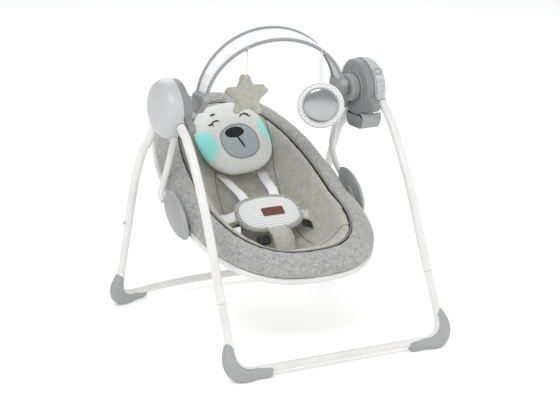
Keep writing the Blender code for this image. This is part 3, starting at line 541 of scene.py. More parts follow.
HUB_CORE = [(0.0092, 0.0), (0.0615, 0.0), (0.0640, 0.0008), (0.0655, 0.0030), (0.0655, 0.0182),
            (0.0092, 0.0182), (0.0092, 0.0)]
FRONT_LOBE = [(-0.030, 0.525, 0.020), (-0.0790, 0.5060, 0.0125)]
REAR_LOBE = [(0.025, 0.523, 0.020), (0.066, 0.499, 0.0150)]
LOBE_FROM, LOBE_TO = HUB_INNER_X + 0.0010, HUB_SPLIT_X - 0.0006
RIB_ROUND_R, RIB_LEG, RIB_WIRE_R = 0.0375, 0.030, 0.0019
COLLAR = [(-0.0560, 0.5290), (-0.0650, 0.5220), (-0.0735, 0.5150)]
for side in (-1, 1):
    core = turned(HUB_CORE, (side * HUB_INNER_X, AXIS_Y, AXIS_Z), (side, 0, 0), 72)
    front_lobe = hull_slab(FRONT_LOBE, side * LOBE_FROM, side * LOBE_TO)
    rear_lobe = hull_slab(REAR_LOBE, side * LOBE_FROM, side * LOBE_TO)
    shell = combined(core, [front_lobe, rear_lobe], "UNION")
    piece(sided("hub_shell", side), shell, abs_dark_and_painted_shade, "stand", [sided("hub_housing", side)])
    arch = [hub_point(side * (HUB_INNER_X + 0.0009), RIB_ROUND_R, math.pi * (k / 36 - 0.5)) for k in range(37)]
    rib = [arch[0] - Vector((0, 0, drop)) for drop in (RIB_LEG, RIB_LEG / 2)] + arch
    rib += [arch[-1] - Vector((0, 0, drop)) for drop in (RIB_LEG / 2, RIB_LEG)]
    piece(sided("horseshoe_rib", side), tube(rib, RIB_WIRE_R, sides=16), abs_grey, "stand")
    collar = shifted([(side * LEG_X_TOP, y, z) for y, z in COLLAR])
    piece(sided("front_leg_collar", side), tube(collar, LEG_R + 0.0021, sides=32), abs_light, "stand")
    for k, (angle, radius) in enumerate(((38.5, 0.0555), (-60, 0.0555), (106.5, 0.0560), (180, 0.0500))):
        spot = hub_point(side * (HUB_INNER_X - 0.0004), radius, math.radians(angle))
        screw(sided("hub_screw_%d" % (k + 1), side), spot, (-side, 0, 0), "stand")
    bush = turned([(0.0063, 0.0), (0.0089, 0.0), (0.0089, 0.0165), (0.0063, 0.0165), (0.0063, 0.0)],
                  (side * (HUB_INNER_X + 0.001), AXIS_Y, AXIS_Z), (side, 0, 0), 40)
    piece(sided("bush", side), bush, black_plastic_and_hole_shade, "stand", [sided("axle_bush", side)])
    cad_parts[sided("swing_axle", side)].data.materials[0] = zinc
    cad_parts[sided("fold_pin", side)].data.materials[0] = zinc

# Control panel: a light grey strip over the front of the right hub, with a ringed power button, two
# small keys, a bank of speaker holes and plain raised marks in place of its icons.
PANEL_FROM, PANEL_TO = math.radians(43), math.radians(99)
PANEL = [(0.2490, 0.0693), (0.2640, 0.0686), (0.2730, 0.0652), (0.2732, 0.0674), (0.2712, 0.0690),
         (0.2650, 0.0712), (0.2500, 0.0719), (0.2490, 0.0714)]
BUTTONS = {"power_button": (0.2580, 52, 0.0062), "music_button": (0.2530, 70, 0.0036),
           "timer_button": (0.2630, 70, 0.0036)}
PANEL_FACE, KEY_TOP = 0.0714, 0.0731


def panel_at(u, v):
    spot = u * len(PANEL)
    k = int(spot) % len(PANEL)
    (x0, r0), (x1, r1) = PANEL[k], PANEL[(k + 1) % len(PANEL)]
    share = spot - int(spot)
    return hub_point(x0 + (x1 - x0) * share, r0 + (r1 - r0) * share, PANEL_FROM + (PANEL_TO - PANEL_FROM) * v)


panel = close_holes(skin(2 * len(PANEL), 48, panel_at))
wells = []
for x, degrees, radius in BUTTONS.values():
    angle = math.radians(degrees)
    wells.append(turned([(0.0, 0.0), (radius + 0.0005, 0.0), (radius + 0.0005, 0.02), (0.0, 0.02)],
                        hub_point(x, 0.0650, angle), hub_out(angle), 40))
piece("panel_strip", combined(panel, wells), abs_light, "stand", ["control_panel"])
for name, (x, degrees, radius) in BUTTONS.items():
    low = PANEL_FACE - 0.0006
    profile = [(0.0, low), (radius, low), (radius, KEY_TOP - 0.0010), (radius - 0.0006, KEY_TOP - 0.0003),
               (radius * 0.72, KEY_TOP), (radius * 0.62, KEY_TOP - 0.0005), (radius * 0.5, KEY_TOP - 0.0004),
               (0.0, KEY_TOP)]
    key = turned(profile, (x, AXIS_Y, AXIS_Z), hub_out(math.radians(degrees)), 40)
    piece(name + "_cap", key, abs_light, name.split("_")[0] + "_key", [name])
x, degrees, _ = BUTTONS["power_button"]
surround = turned([(0.0072, 0.0706), (0.0084, 0.0706), (0.0084, 0.0722), (0.0079, 0.0725), (0.0072, 0.0722),
                   (0.0072, 0.0706)], (x, AXIS_Y, AXIS_Z), hub_out(math.radians(degrees)), 48)
piece("power_surround", surround, abs_dark_and_painted_shade, "stand")
# Speaker holes: black discs set flush in the dome, painted shade in place of real holes.
for row, degrees in enumerate((74, 79, 84)):
    for column, radius in enumerate((0.0590, 0.0540)):
        angle = math.radians(degrees)
        x = HUB_SPLIT_X + dome_height(radius) - 0.0002
        slope = (dome_height(radius - 0.001) - dome_height(radius + 0.001)) / 0.002
        hole = turned([(0.0, -0.0006), (0.0013, -0.0006), (0.0013, 0.0003), (0.0, 0.0003)],
                      hub_point(x, radius, angle), hub_out(angle) * slope + Vector((1, 0, 0)), 16)
        piece("speaker_hole_%d_%d" % (row + 1, column + 1), hole, black_plastic_and_hole_shade, "stand")
PANEL_MARKS = [(0.2530, 60), (0.2636, 60), (0.2530, 80), (0.2630, 80), (0.2530, 89), (0.2630, 89)]
for k, (x, degrees) in enumerate(PANEL_MARKS):
    angle = math.radians(degrees)
    mark = turned([(0.0008, 0.0), (0.0016, 0.0), (0.0016, 0.0004), (0.0008, 0.0004), (0.0008, 0.0)],
                  hub_point(x, PANEL_FACE - 0.0001, angle), hub_out(angle), 20)
    piece("panel_mark_%d" % (k + 1), mark, abs_dark_and_painted_shade, "stand")

# Battery box: a grey tub under the right hub with a dark slide-off door on its inner side, held by
# one screw, and a small moulded finger ridge.
def both_ways(*circles):
    """Each (y, z, radius) circle with its twin on the other side of the axle."""
    return [(way * y, z, radius) for y, z, radius in circles for way in (-1, 1)]


TUB_FROM, LID_FROM, LID_TO = 0.2290, 0.2268, 0.2286
tub = hull_slab(both_ways((0.027, 0.4680, 0.0135), (0.020, 0.4560, 0.0145)), TUB_FROM, 0.2790, 0.0022)
clear = turned([(0.0, -0.03), (0.0658, -0.03), (0.0658, 0.0158), (0.0686, 0.0158), (0.0686, 0.08), (0.0, 0.08)],
               (TUB_FROM, AXIS_Y, AXIS_Z), (1, 0, 0), 72)
hollow = hull_slab(both_ways((0.025, 0.4665, 0.0110), (0.019, 0.4565, 0.0120)), 0.2200, 0.2760, 0)
piece("battery_tub", combined(tub, [clear, hollow]), abs_grey, "stand", ["battery_box"])
lid = hull_slab(both_ways((0.026, 0.4630, 0.010), (0.019, 0.4560, 0.013)), LID_FROM, LID_TO, 0.0006)
ridges = [hull_slab(both_ways((0.010, z, 0.0007)), 0.2260, 0.2275, 0.0002) for z in (0.4480, 0.4505, 0.4530)]
piece("battery_lid_plate", combined(lid, ridges, "UNION"), abs_dark_and_painted_shade, "battery_lid", ["battery_door"])
screw("battery_screw", (LID_FROM, AXIS_Y + 0.018, 0.4600), (-1, 0, 0), "battery_lid")

# Inside the right hub: the coil kicks a magnet on the axle's lever, driven by a small circuit
# board; three cells and a loudspeaker sit beside them.
copper, tree, shader = material("enamelled_copper_wire", "#b5673a", 0.3, 1.0)
place = node(tree, "TexCoord").outputs["Object"]
# Turns of 0.3 mm wire, drawn 0.6 mm apart.
turns = node(tree, "TexWave", {"Vector": place, "Scale": 1 / 0.0006 / TURN, "Distortion": 0.0}).outputs["Fac"]
bump(tree, shader, turns, 0.5, 0.0001)
board_mat, tree, shader = material("solder_masked_board", "#1e5a34", 0.4)
place = node(tree, "TexCoord").outputs["Object"]
tracks = node(tree, "TexBrick", {"Vector": place, "Scale": 160.0, "Color1": linear("#1f5f37"),
                                 "Color2": linear("#1b5230"), "Mortar": linear("#3c8a55")}).outputs["Color"]
tree.links.new(tracks, shader.inputs["Base Color"])
sleeve_mat, tree, shader = material("printed_battery_sleeve", "#2a2c30", 0.3)
place = node(tree, "TexCoord").outputs["Object"]
bands = node(tree, "TexNoise", {"Vector": place, "Scale": 120.0}).outputs["Fac"]
tree.links.new(ramp(tree, bands, (0.4, "#26282c"), (0.6, "#33363b")), shader.inputs["Base Color"])
for name, finish in (("drive_coil", copper), ("circuit_board", board_mat), ("battery_pack", sleeve_mat),
                     ("speaker", black_plastic_and_hole_shade), ("drive_lever", black_plastic_and_hole_shade), ("drive_magnet", zinc)):
    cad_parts[name].data.materials[0] = finish

# Hanging arms: a stepped grey drum turns on each axle and grips a bent white tube, which ends
# behind the recline cover.
ARM_R, DRUM_R = 0.0075, 0.0325
ARM_PATH = [(0.2150, 0.0240, 0.5040), (0.2140, 0.0500, 0.4620), (0.2150, 0.0810, 0.3930),
            (0.2250, 0.0880, 0.3480), (0.2360, 0.0820, 0.3180), (0.2370, 0.0660, 0.3060)]
DRUM_X = 0.2051
DRUM = [(0.0062, 0.0), (0.0270, 0.0), (0.0300, 0.0006), (0.0320, 0.0020), (DRUM_R, 0.0040),
        (DRUM_R, 0.0085), (0.0316, 0.0092), (0.0306, 0.0096), (0.0306, 0.0112), (0.0316, 0.0116),
        (DRUM_R, 0.0124), (DRUM_R, 0.0180), (0.0318, 0.0198), (0.0300, 0.0207), (0.0062, 0.0207), (0.0062, 0.0)]


def arm_line(side):
    return shifted(smooth_path([(side * x, y, z) for x, y, z in ARM_PATH], 10))


for side in (-1, 1):
    arm = arm_line(side)
    way = (arm[8] - arm[0]).normalized()
    sleeve = tube([arm[0] - way * 0.020, arm[0] - way * 0.006, arm[0] + way * 0.010, arm[0] + way * 0.0150,
                   arm[0] + way * 0.0163], 0.0110, radii=[1, 1, 1, 0.97, 0.86])
    drum = turned(DRUM, (side * DRUM_X, AXIS_Y, AXIS_Z), (side, 0, 0), 64)
    bore = tube([arm[0] - way * 0.0008, arm[0] + way * 0.030], ARM_R + 0.0004)
    piece(sided("arm_drum", side), combined(combined(drum, [sleeve], "UNION"), [bore]), abs_grey, "swing",
          [sided("arm_hub", side)])
    piece(sided("arm_bar", side), tube(arm, ARM_R), powder_coat, "swing", [sided("arm_tube", side)])

# Recline covers: oval grey shells over the seat's side pivots, each with a fine parting groove, and the
# ear of the seat frame behind it.
RECLINE_Y, RECLINE_Z = 0.0125, 0.284
COVER_X, COVER_TILT = 0.2272, math.radians(37)
COVER_LONG, COVER_WIDE, COVER_DEEP = 0.068, 0.037, 0.0185


def cover_at(side):
    """Half an egg: u runs round the oval and v from the inner lip, over the rim, to the crown."""
    turn = Matrix.Rotation(COVER_TILT, 3, "X")

    def place_at(u, v):
        a = TURN * u
        share = min(1.0, (1 - v) / 0.9)
        rise = math.sqrt(1 - share ** 2.4)
        groove = 0.0007 * math.exp(-((share - 0.93) / 0.012) ** 2)
        inset = 0.0022 * max(0.0, (0.1 - v) / 0.1)
        y = (COVER_LONG * share - inset) * math.cos(a)
        z = (COVER_WIDE * share - inset) * math.sin(a) * (1 + 0.05 * math.cos(a))
        x = side * (COVER_X + COVER_DEEP * rise - groove)
        return Vector((0, AXIS_Y + RECLINE_Y, RECLINE_Z)) + Vector((x, *(turn @ Vector((0, y, z))).yz))

    return place_at


for side in (-1, 1):
    cap = close_holes(skin(72, 40, cover_at(side)))
    piece(sided("recline_cap", side), combined(cap, [tube(arm_line(side), ARM_R + 0.0008)]), abs_grey, "swing",
          [sided("recline_cover", side)])
    ear = hull_slab([(RECLINE_Y, RECLINE_Z, 0.013), (0.040, 0.2740, 0.009), (-0.022, 0.2480, 0.009)],
                    side * 0.2188, side * 0.2266, 0.0010)
    piece(sided("recline_ear", side), ear, abs_grey, "seat", [sided("recline_plate", side)])

# Seat frame: an oval loop of 16 mm white tube in two halves that meet at the side pivots.
RIM_R, RIM_HALF_WIDTH = 0.008, 0.210
RIM_JOIN_Y, RIM_JOIN_Z = 0.0085, 0.257
RIM_FRONT_LENGTH, RIM_FRONT_SLOPE, RIM_FRONT_POWER = 0.276, math.radians(-17.8), 2.57
RIM_BACK_LENGTH, RIM_BACK_SLOPE, RIM_BACK_POWER = 0.400, math.radians(28.7), 2.46


def rim_point(t, back, inward=0.0, up=0.0):
    """A point beside the rim: t is -90 to 90 degrees across a half, inward and up are offsets from the tube."""
    power = RIM_BACK_POWER if back else RIM_FRONT_POWER
    length = RIM_BACK_LENGTH if back else RIM_FRONT_LENGTH
    slope = RIM_BACK_SLOPE if back else RIM_FRONT_SLOPE
    reach = abs(math.cos(t)) ** (2 / power)
    x = (RIM_HALF_WIDTH - inward) * math.copysign(abs(math.sin(t)) ** (2 / power), t)
    s = (length - inward) * reach
    mean = (RIM_BACK_SLOPE - RIM_FRONT_SLOPE) / 2
    own = slope if back else -slope
    share = min(1.0, s / 0.08)
    lean = mean + (own - mean) * share * share * (3 - 2 * share)
    direction = 1 if back else -1
    y = RIM_JOIN_Y + direction * s * math.cos(slope) - up * math.sin(lean)
    z = RIM_JOIN_Z + s * math.sin(slope) + up * math.cos(lean)
    return Vector((x, AXIS_Y + y, z))


def round_rim(share, inward=0.0, up=0.0):
    """A point beside the rim for share from 0 to 1 round the whole loop, from the left pivot by the front."""
    half = (share % 1.0) * 2
    t = math.pi / 2 * (2 * (half % 1.0) - 1)
    return rim_point(t, False, inward, up) if half < 1 else rim_point(-t, True, inward, up)


def even_rim(count, inward=0.0, up=0.0):
    """Evenly spaced points beside the rim."""
    fine = [round_rim(k / 1200, inward, up) for k in range(1200)]
    along = [0.0]
    for a, b in zip(fine, fine[1:] + fine[:1]):
        along.append(along[-1] + (b - a).length)
    out, k = [], 0
    for i in range(count):
        while along[k + 1] < along[-1] * i / count:
            k += 1
        out.append(fine[k])
    return out


for back, name in ((False, "seat_rim_front"), (True, "seat_rim_back")):
    edge = math.pi / 2 - 0.003
    line = [rim_point(-edge + 2 * edge * k / 72, back) for k in range(73)]
    piece(name, tube(line, RIM_R), powder_coat, "seat", ["seat_frame_back" if back else "seat_frame_front"])

# Seat border: a wadded ring of grey melange jersey, sewn to the liner at its inner edge and pulled
# over the tube at its outer edge. It is cut in four lengths, and puckers a little along its seams.
melange, tree, shader = material("grey_melange_jersey", "#9d9c9a", 0.92, Sheen_Weight=0.25,
                                 Sheen_Roughness=0.6)
place = node(tree, "TexCoord").outputs["Object"]
# Dyed and undyed fibres show as short slubs; real ones are 0.4 mm, drawn 1.3 mm wide and 4 mm long.
stretch = node(tree, "Mapping", {"Vector": place, "Scale": (760.0, 420.0, 240.0)}).outputs["Vector"]
slub = node(tree, "TexNoise", {"Vector": stretch, "Scale": 1.0, "Detail": 3.0,
                               "Roughness": 0.65}).outputs["Fac"]
patch = node(tree, "TexNoise", {"Vector": place, "Scale": 130.0, "Detail": 4.0,
                                "Roughness": 0.7}).outputs["Fac"]
mix = node(tree, "Math", {0: slub, 1: patch}, operation="ADD").outputs["Value"]
half_mix = node(tree, "Math", {0: mix, 1: 0.5}, operation="MULTIPLY").outputs["Value"]
tree.links.new(ramp(tree, half_mix, (0.36, "#797775"), (0.47, "#999896"), (0.56, "#ababa8"), (0.66, "#c3c3c0")),
               shader.inputs["Base Color"])
knit = node(tree, "TexVoronoi", {"Vector": place, "Scale": 700.0}).outputs["Distance"]
knit_mix = node(tree, "Math", {0: knit, 1: slub}, operation="ADD").outputs["Value"]
bump(tree, shader, knit_mix, 0.55, 0.0004)

SEAM_IN, SEAM_UP = 0.0490, 0.0440
BORDER = [(-0.0045, 0.0085), (-0.0062, 0.0150), (-0.0052, 0.0240), (-0.0010, 0.0330), (0.0070, 0.0405),
          (0.0180, 0.0460), (0.0290, 0.0482), (0.0400, 0.0478), (0.0470, 0.0455), (0.0478, 0.0410),
          (0.0430, 0.0340), (0.0320, 0.0245), (0.0200, 0.0165), (0.0090, 0.0105), (0.0020, 0.0088)]


def sewn(name, made, finish, body, stands_for=()):
    return piece(name, made, finish, body, stands_for, sharp=180)


def moved(obj, shift):
    """Moves each vertex of a piece by shift(place, normal)."""
    steps = [shift(v.co, v.normal) for v in obj.data.vertices]
    for v, step in zip(obj.data.vertices, steps):
        v.co += step


def remeshed(obj, voxel):
    """Gives a sewn cover even quads a few millimetres across."""
    grid = obj.modifiers.new("grid", "REMESH")
    grid.mode, grid.voxel_size = "VOXEL", voxel
    grid.use_smooth_shade = True
    bpy.context.view_layer.update()
    mesh = bpy.data.meshes.new_from_object(obj.evaluated_get(bpy.context.evaluated_depsgraph_get()))
    obj.modifiers.clear()
    old, obj.data = obj.data, mesh
    mesh.name = old.name
    bpy.data.meshes.remove(old)
    mesh.shade_smooth()


def puffed(obj, held, most, pressure=4.0, frames=20):
    """Blows a cover up as cloth: held(place) is how firmly each point is sewn down, and no point
    goes further than most metres."""
    start = [v.co.copy() for v in obj.data.vertices]
    group = obj.vertex_groups.new(name="sewn")
    for v in obj.data.vertices:
        firm = held(v.co)
        if firm > 0:
            group.add([v.index], firm, "REPLACE")
    cloth = obj.modifiers.new("cloth", "CLOTH")
    cloth.settings.quality = 4
    cloth.settings.mass = 0.25
    cloth.settings.use_pressure = True
    cloth.settings.uniform_pressure_force = pressure
    cloth.settings.effector_weights.gravity = 0
    cloth.settings.vertex_group_mass = "sewn"
    cloth.point_cache.frame_start, cloth.point_cache.frame_end = 1, frames
    scene = bpy.context.scene
    for step in range(1, frames + 1):
        scene.frame_set(step)
    posed = obj.evaluated_get(bpy.context.evaluated_depsgraph_get()).to_mesh()
    ends = [v.co.copy() for v in posed.vertices]
    obj.modifiers.clear()
    scene.frame_set(1)
    for v, a, b in zip(obj.data.vertices, start, ends):
        way = b - a
        v.co = a + way * min(1.0, most / max(way.length, 1e-9))
    obj.vertex_groups.clear()


def softened(obj, times):
    made = bmesh.new()
    made.from_mesh(obj.data)
    for _ in range(times):
        bmesh.ops.smooth_vert(made, verts=made.verts, factor=0.5, use_axis_x=True, use_axis_y=True,
                              use_axis_z=True)
    made.to_mesh(obj.data)
    made.free()


def near(lines, reach):
    """How near a place is to any of the lines, from 1 on a line to 0 at reach."""
    spots = [p for line in lines for p in line]
    tree_of = KDTree(len(spots))
    for i, p in enumerate(spots):
        tree_of.insert(p, i)
    tree_of.balance()
    return lambda place: max(0.0, 1.0 - tree_of.find(place)[2] / reach)


def finer(obj):
    step = obj.modifiers.new("finer", "SUBSURF")
    step.levels = step.render_levels = 1


def border_at(u, v):
    inward, up = BORDER_LINE[round(u * len(BORDER_LINE)) % len(BORDER_LINE)]
    return round_rim(v, inward, up)


BORDER_LINE = smooth_flat(BORDER, 3, closed=True)
CROSS_SEAMS = (0.0, 0.5, 0.62, 0.88)    # shares of the way round
border = sewn("padded_border", close_holes(skin(len(BORDER_LINE), 240, border_at)), melange, "seat",
              ["seat_border"])
remeshed(border, 0.005)
inner_seam = even_rim(300, SEAM_IN - 0.002, SEAM_UP - 0.001)
outer_seam = even_rim(400, -0.003, 0.009)
cross_seams = [[round_rim(share, inward, up) for inward, up in BORDER_LINE] for share in CROSS_SEAMS]
inner_near, outer_near = near([inner_seam], 0.010), near([outer_seam], 0.009)
cross_near = near(cross_seams, 0.006)
puffed(border, lambda p: min(1.0, 1.6 * max(inner_near(p), outer_near(p), 0.7 * cross_near(p))), 0.006)
softened(border, 2)
ring_middle = Vector((0, AXIS_Y + 0.06, 0.30))


def pucker(place, normal):
    """Gathers along both edges, and a nip at each cross seam."""
    a = math.atan2(place.x, place.y - ring_middle.y)
    wave = 0.6 * math.sin(47 * a + 1.3 * math.sin(5 * a)) + 0.4 * math.sin(83 * a + 2.1 * math.sin(7 * a + 1))
    edge = max(inner_wide(place), outer_wide(place))
    broad = 0.0010 * math.sin(9 * a + 1.7 * math.sin(4 * a))
    return normal * (0.0011 * wave * edge * (1 - edge) * 4 + broad * (1 - edge) - 0.0026 * cross_near(place))


inner_wide, outer_wide = near([inner_seam], 0.020), near([outer_seam], 0.020)
moved(border, pucker)
finer(border)

# Piping: a grey cord in a bias strip, sewn between the border and the liner.
piping_mat, tree, shader = material("mid_grey_piping", "#86877f", 0.85)
flat_map = node(tree, "UVMap").outputs["UV"]
# Twill of the bias strip, drawn 1.4 mm apart.
twill = node(tree, "TexWave", {"Vector": flat_map, "Scale": 1 / 0.0014 / TURN, "Distortion": 0.4},
             bands_direction="DIAGONAL").outputs["Fac"]
tree.links.new(ramp(tree, twill, (0.2, "#74756f"), (0.8, "#93948d")), shader.inputs["Base Color"])
bump(tree, shader, twill, 0.5, 0.0003)
piping_line = even_rim(260, SEAM_IN + 0.0005, SEAM_UP + 0.0020)
piece("liner_piping", tube(piping_line, 0.0016, sides=12, closed=True), piping_mat, "seat")

# Liner: the sewn bucket of beige grey velour over thin foam. Two long seams set a centre panel
# between two wings, and a cross seam makes the knee crease.
velour, tree, shader = material("beige_grey_velour", "#aeada3", 0.9, Sheen_Weight=0.45, Sheen_Roughness=0.45)
place = node(tree, "TexCoord").outputs["Object"]
# Pile laid this way and that gives 15 mm clouds; the pile itself is 0.5 mm, drawn at 1.2 mm.
cloud = node(tree, "TexNoise", {"Vector": place, "Scale": 65.0, "Detail": 4.0,
                                "Roughness": 0.6}).outputs["Fac"]
pile = node(tree, "TexNoise", {"Vector": place, "Scale": 820.0, "Detail": 3.0}).outputs["Fac"]
both = node(tree, "Mix", {"Factor": 0.3, "A": cloud, "B": pile}, data_type="FLOAT").outputs["Result"]
tree.links.new(ramp(tree, both, (0.32, "#a19f94"), (0.5, "#afada3"), (0.68, "#bdbcb2")),
               shader.inputs["Base Color"])
bump(tree, shader, pile, 0.45, 0.0005)

SEAT_LINE = [(-0.230, 0.214), (-0.190, 0.187), (-0.140, 0.170), (-0.090, 0.162), (-0.040, 0.164),
             (0.012, 0.177), (0.062, 0.207), (0.112, 0.249), (0.162, 0.296), (0.212, 0.344), (0.262, 0.394),
             (0.322, 0.462)]
LINER_IN, LINER_UP = 0.0500, 0.0425
BUCKET_MIDDLE_Y = 0.03
LINER_THICK = 0.0080


def seat_line_z(y):
    if y <= SEAT_LINE[0][0]:
        return SEAT_LINE[0][1]
    for (y0, z0), (y1, z1) in zip(SEAT_LINE, SEAT_LINE[1:]):
        if y <= y1:
            return z0 + (z1 - z0) * (y - y0) / (y1 - y0)
    return SEAT_LINE[-1][1]


def smooth_seat_z(y):
    return sum(seat_line_z(y + d) for d in (-0.016, -0.008, 0, 0.008, 0.016)) / 5


def bucket_point(u, v, inset=LINER_IN, lift=LINER_UP, drop=0.0):
    """Maps a square grid point from -1 to 1 to the bucket's upper face."""
    across, ahead = u * math.sqrt(1 - v * v / 2), v * math.sqrt(1 - u * u / 2)
    share = math.hypot(across, ahead)
    t = math.atan2(across, abs(ahead)) if share else 0.0
    edge = rim_point(t, ahead > 0, inset, lift)
    edge_y = edge.y - AXIS_Y
    y = BUCKET_MIDDLE_Y + share * (edge_y - BUCKET_MIDDLE_Y)
    z = smooth_seat_z(y) + (edge.z - smooth_seat_z(edge_y)) * share ** 3
    return Vector((share * edge.x, AXIS_Y + y, z - drop))


def faced(made, up):
    """Turns all faces of an open skin up, or all of them down."""
    bmesh.ops.recalc_face_normals(made, faces=made.faces)
    if (sum(f.normal.z for f in made.faces) > 0) != up:
        bmesh.ops.reverse_faces(made, faces=made.faces)


made = skin(56, 80, lambda u, v: bucket_point(2 * u - 1, 2 * v - 1), 0.32, 0.62)
faced(made, True)
bmesh.ops.solidify(made, geom=made.faces[:], thickness=-LINER_THICK)
bmesh.ops.recalc_face_normals(made, faces=made.faces)
liner = sewn("seat_liner", made, velour, "seat", ["seat_pad"])
remeshed(liner, 0.005)

top_of_bucket = skin(56, 80, lambda u, v: bucket_point(2 * u - 1, 2 * v - 1))
bucket_tree = BVHTree.FromBMesh(top_of_bucket)
top_of_bucket.free()


def laid_on(surface, spots, above=0.0):
    """Spots dropped onto a surface from above."""
    out = []
    for p in spots:
        hit = surface.ray_cast(Vector((p.x, p.y, 0.6)), Vector((0, 0, -1)))
        if hit[0]:
            out.append(hit[0] + Vector((0, 0, above)))
    return out


LONG_SEAMS = {-1: [(-0.083, -0.080), (-0.081, 0.050), (-0.069, 0.130), (-0.050, 0.176), (-0.040, 0.230),
                   (-0.036, 0.300)],
              1: [(0.078, -0.080), (0.080, 0.050), (0.088, 0.130), (0.102, 0.176), (0.110, 0.230),
                  (0.108, 0.280)]}


def long_seam(side):
    """From the front of the lap up to the head end."""
    return laid_on(bucket_tree, shifted([(x, y, 0) for x, y in smooth_flat(LONG_SEAMS[side], 14)]))


def knee_seam(side):
    """From the middle of the knee crease out to the wing."""
    spots = [(side * (0.030 + 0.105 * t), -0.102 - 0.050 * t ** 2, 0) for t in (k / 24 for k in range(25))]
    return laid_on(bucket_tree, shifted(spots))


seams = [long_seam(-1), long_seam(1), knee_seam(-1), knee_seam(1)]
rim_line = even_rim(300, LINER_IN - 0.001, LINER_UP - 0.002)
seam_near, rim_near, seam_wide = near(seams, 0.007), near([rim_line], 0.010), near(seams, 0.011)
puffed(liner, lambda p: min(1.0, 1.8 * max(seam_near(p), rim_near(p))), 0.007)
softened(liner, 2)


def crease(place, normal):
    """Sinks the seams and leaves the drag lines that sitting and washing put in the velour."""
    y = place.y - AXIS_Y
    at_knees = math.exp(-((y + 0.10) / 0.07) ** 2)
    on_wings = math.exp(-((abs(place.x) - 0.11) / 0.03) ** 2)
    drag = 0.0012 * math.sin(150 * place.x + 26 * y + 2.2 * math.sin(19 * y)) * at_knees
    drag += 0.0010 * math.sin(95 * y + 30 * abs(place.x)) * on_wings
    depth = seam_wide(place)
    return normal * (drag * (1 - depth) - 0.0042 * depth ** 2)


moved(liner, crease)
finer(liner)

# Seam lines: a thin dark grey cord laid along each seam of the liner, painted shade standing for the shadow in the
# seam, with lockstitches drawn on it.
thread_and_seam_shade_mat, tree, shader = material("grey_thread_and_painted_seam_shade", "#77766f", 0.7)
flat_map = node(tree, "UVMap").outputs["UV"]
# 3 mm stitches.
stitch = node(tree, "TexWave", {"Vector": flat_map, "Scale": 1 / 0.003 / TURN},
              bands_direction="Y").outputs["Fac"]
tree.links.new(ramp(tree, stitch, (0.2, "#5f5e58"), (0.8, "#7f7e77")), shader.inputs["Base Color"])
bump(tree, shader, stitch, 0.6, 0.0003)
liner_mesh = bmesh.new()
liner_mesh.from_mesh(liner.data)
liner_tree = BVHTree.FromBMesh(liner_mesh)
liner_mesh.free()
# Each liner seam gets a dark cord of painted shade, laid just above the velour.
for k, seam in enumerate(seams):
    piece("liner_seam_shade_line_%d" % (k + 1), tube(laid_on(liner_tree, seam, 0.0003), 0.0009, sides=8), thread_and_seam_shade_mat,
          "seat")

# Sling: the melange cloth under the seat, stretched from the tube down round the foam.
SLING_DROP = 0.0125


def sling_at(u, v):
    across, ahead = 2 * u - 1, 2 * v - 1
    share = max(abs(across), abs(ahead))
    return bucket_point(across, ahead, 0.0030 + 0.004 * (1 - share), 0.0075, SLING_DROP * (1 - share ** 6))


made = skin(48, 72, sling_at, 0.42, 0.70)
faced(made, False)
sling_area = sum(f.calc_area() for f in made.faces)
bmesh.ops.solidify(made, geom=made.faces[:], thickness=0.0010)
bmesh.ops.recalc_face_normals(made, faces=made.faces)
sling = sewn("seat_sling", made, melange, "seat")
finer(sling)

# Head cushion: a stuffed bear's face in off-white plush. Its cheeks are
# printed, its muzzle is a felt patch, and its nose, mouth and lashes are embroidered.
HEAD = Vector((0, AXIS_Y + 0.1816, 0.4018))
HEAD_LEAN, HEAD_TURN = math.radians(48), math.radians(7)
HEAD_WIDE, HEAD_HIGH, HEAD_THICK = 0.0980, 0.0980, 0.0260
HEAD_FRAME = Matrix.Translation(HEAD) @ Matrix.Rotation(HEAD_LEAN, 4, "X") @ Matrix.Rotation(HEAD_TURN, 4, "Z")


def mapped(obj, frame_of):
    """Gives a piece a UV map in metres, laid flat in the plane of a local frame."""
    back = frame_of.inverted()
    uv = obj.data.uv_layers.get("UVMap") or obj.data.uv_layers.new(name="UVMap")
    for loop in obj.data.loops:
        p = back @ obj.data.vertices[loop.vertex_index].co
        uv.data[loop.index].uv = (p.x, p.y)


def squared(c, s, power):
    """How far out a squared-off oval lies in the direction with cosine c and sine s."""
    return (abs(c) ** power + abs(s) ** power) ** (-1 / power)


def edge_line(frame_of, wide, high, power, count):
    """Points round the edge of a cushion; a power under 1 squares it off."""
    spots = [(math.cos(TURN * k / count), math.sin(TURN * k / count)) for k in range(count)]
    return [frame_of @ Vector((wide * math.copysign(abs(c) ** power, c), high * math.copysign(abs(s) ** power, s), 0))
            for c, s in spots]


def cushion(wide, high, thick, frame_of, power=2.5, rows=24, crown=0.72):
    """A closed cushion: a ball squared off in its plane and flattened, in a local frame."""
    made = bmesh.new()
    made.loops.layers.uv.new("UVMap")
    bmesh.ops.create_uvsphere(made, u_segments=64, v_segments=rows, radius=1)
    for v in made.verts:
        flat = math.hypot(v.co.x, v.co.y)
        if flat > 1e-6:
            c, s = v.co.x / flat, v.co.y / flat
            reach = flat * squared(c, s, power)
            v.co.x, v.co.y = c * reach, s * reach
        v.co.z = math.copysign(abs(v.co.z) ** crown, v.co.z)
    bmesh.ops.scale(made, vec=(wide, high, thick), verts=made.verts)
    bmesh.ops.transform(made, matrix=frame_of, verts=made.verts)
    return made


plush, tree, shader = material("printed_plush", "#d8dad6", 0.92, Sheen_Weight=0.5, Sheen_Roughness=0.5)
place = node(tree, "TexCoord").outputs["Object"]
flat_map = node(tree, "UVMap").outputs["UV"]
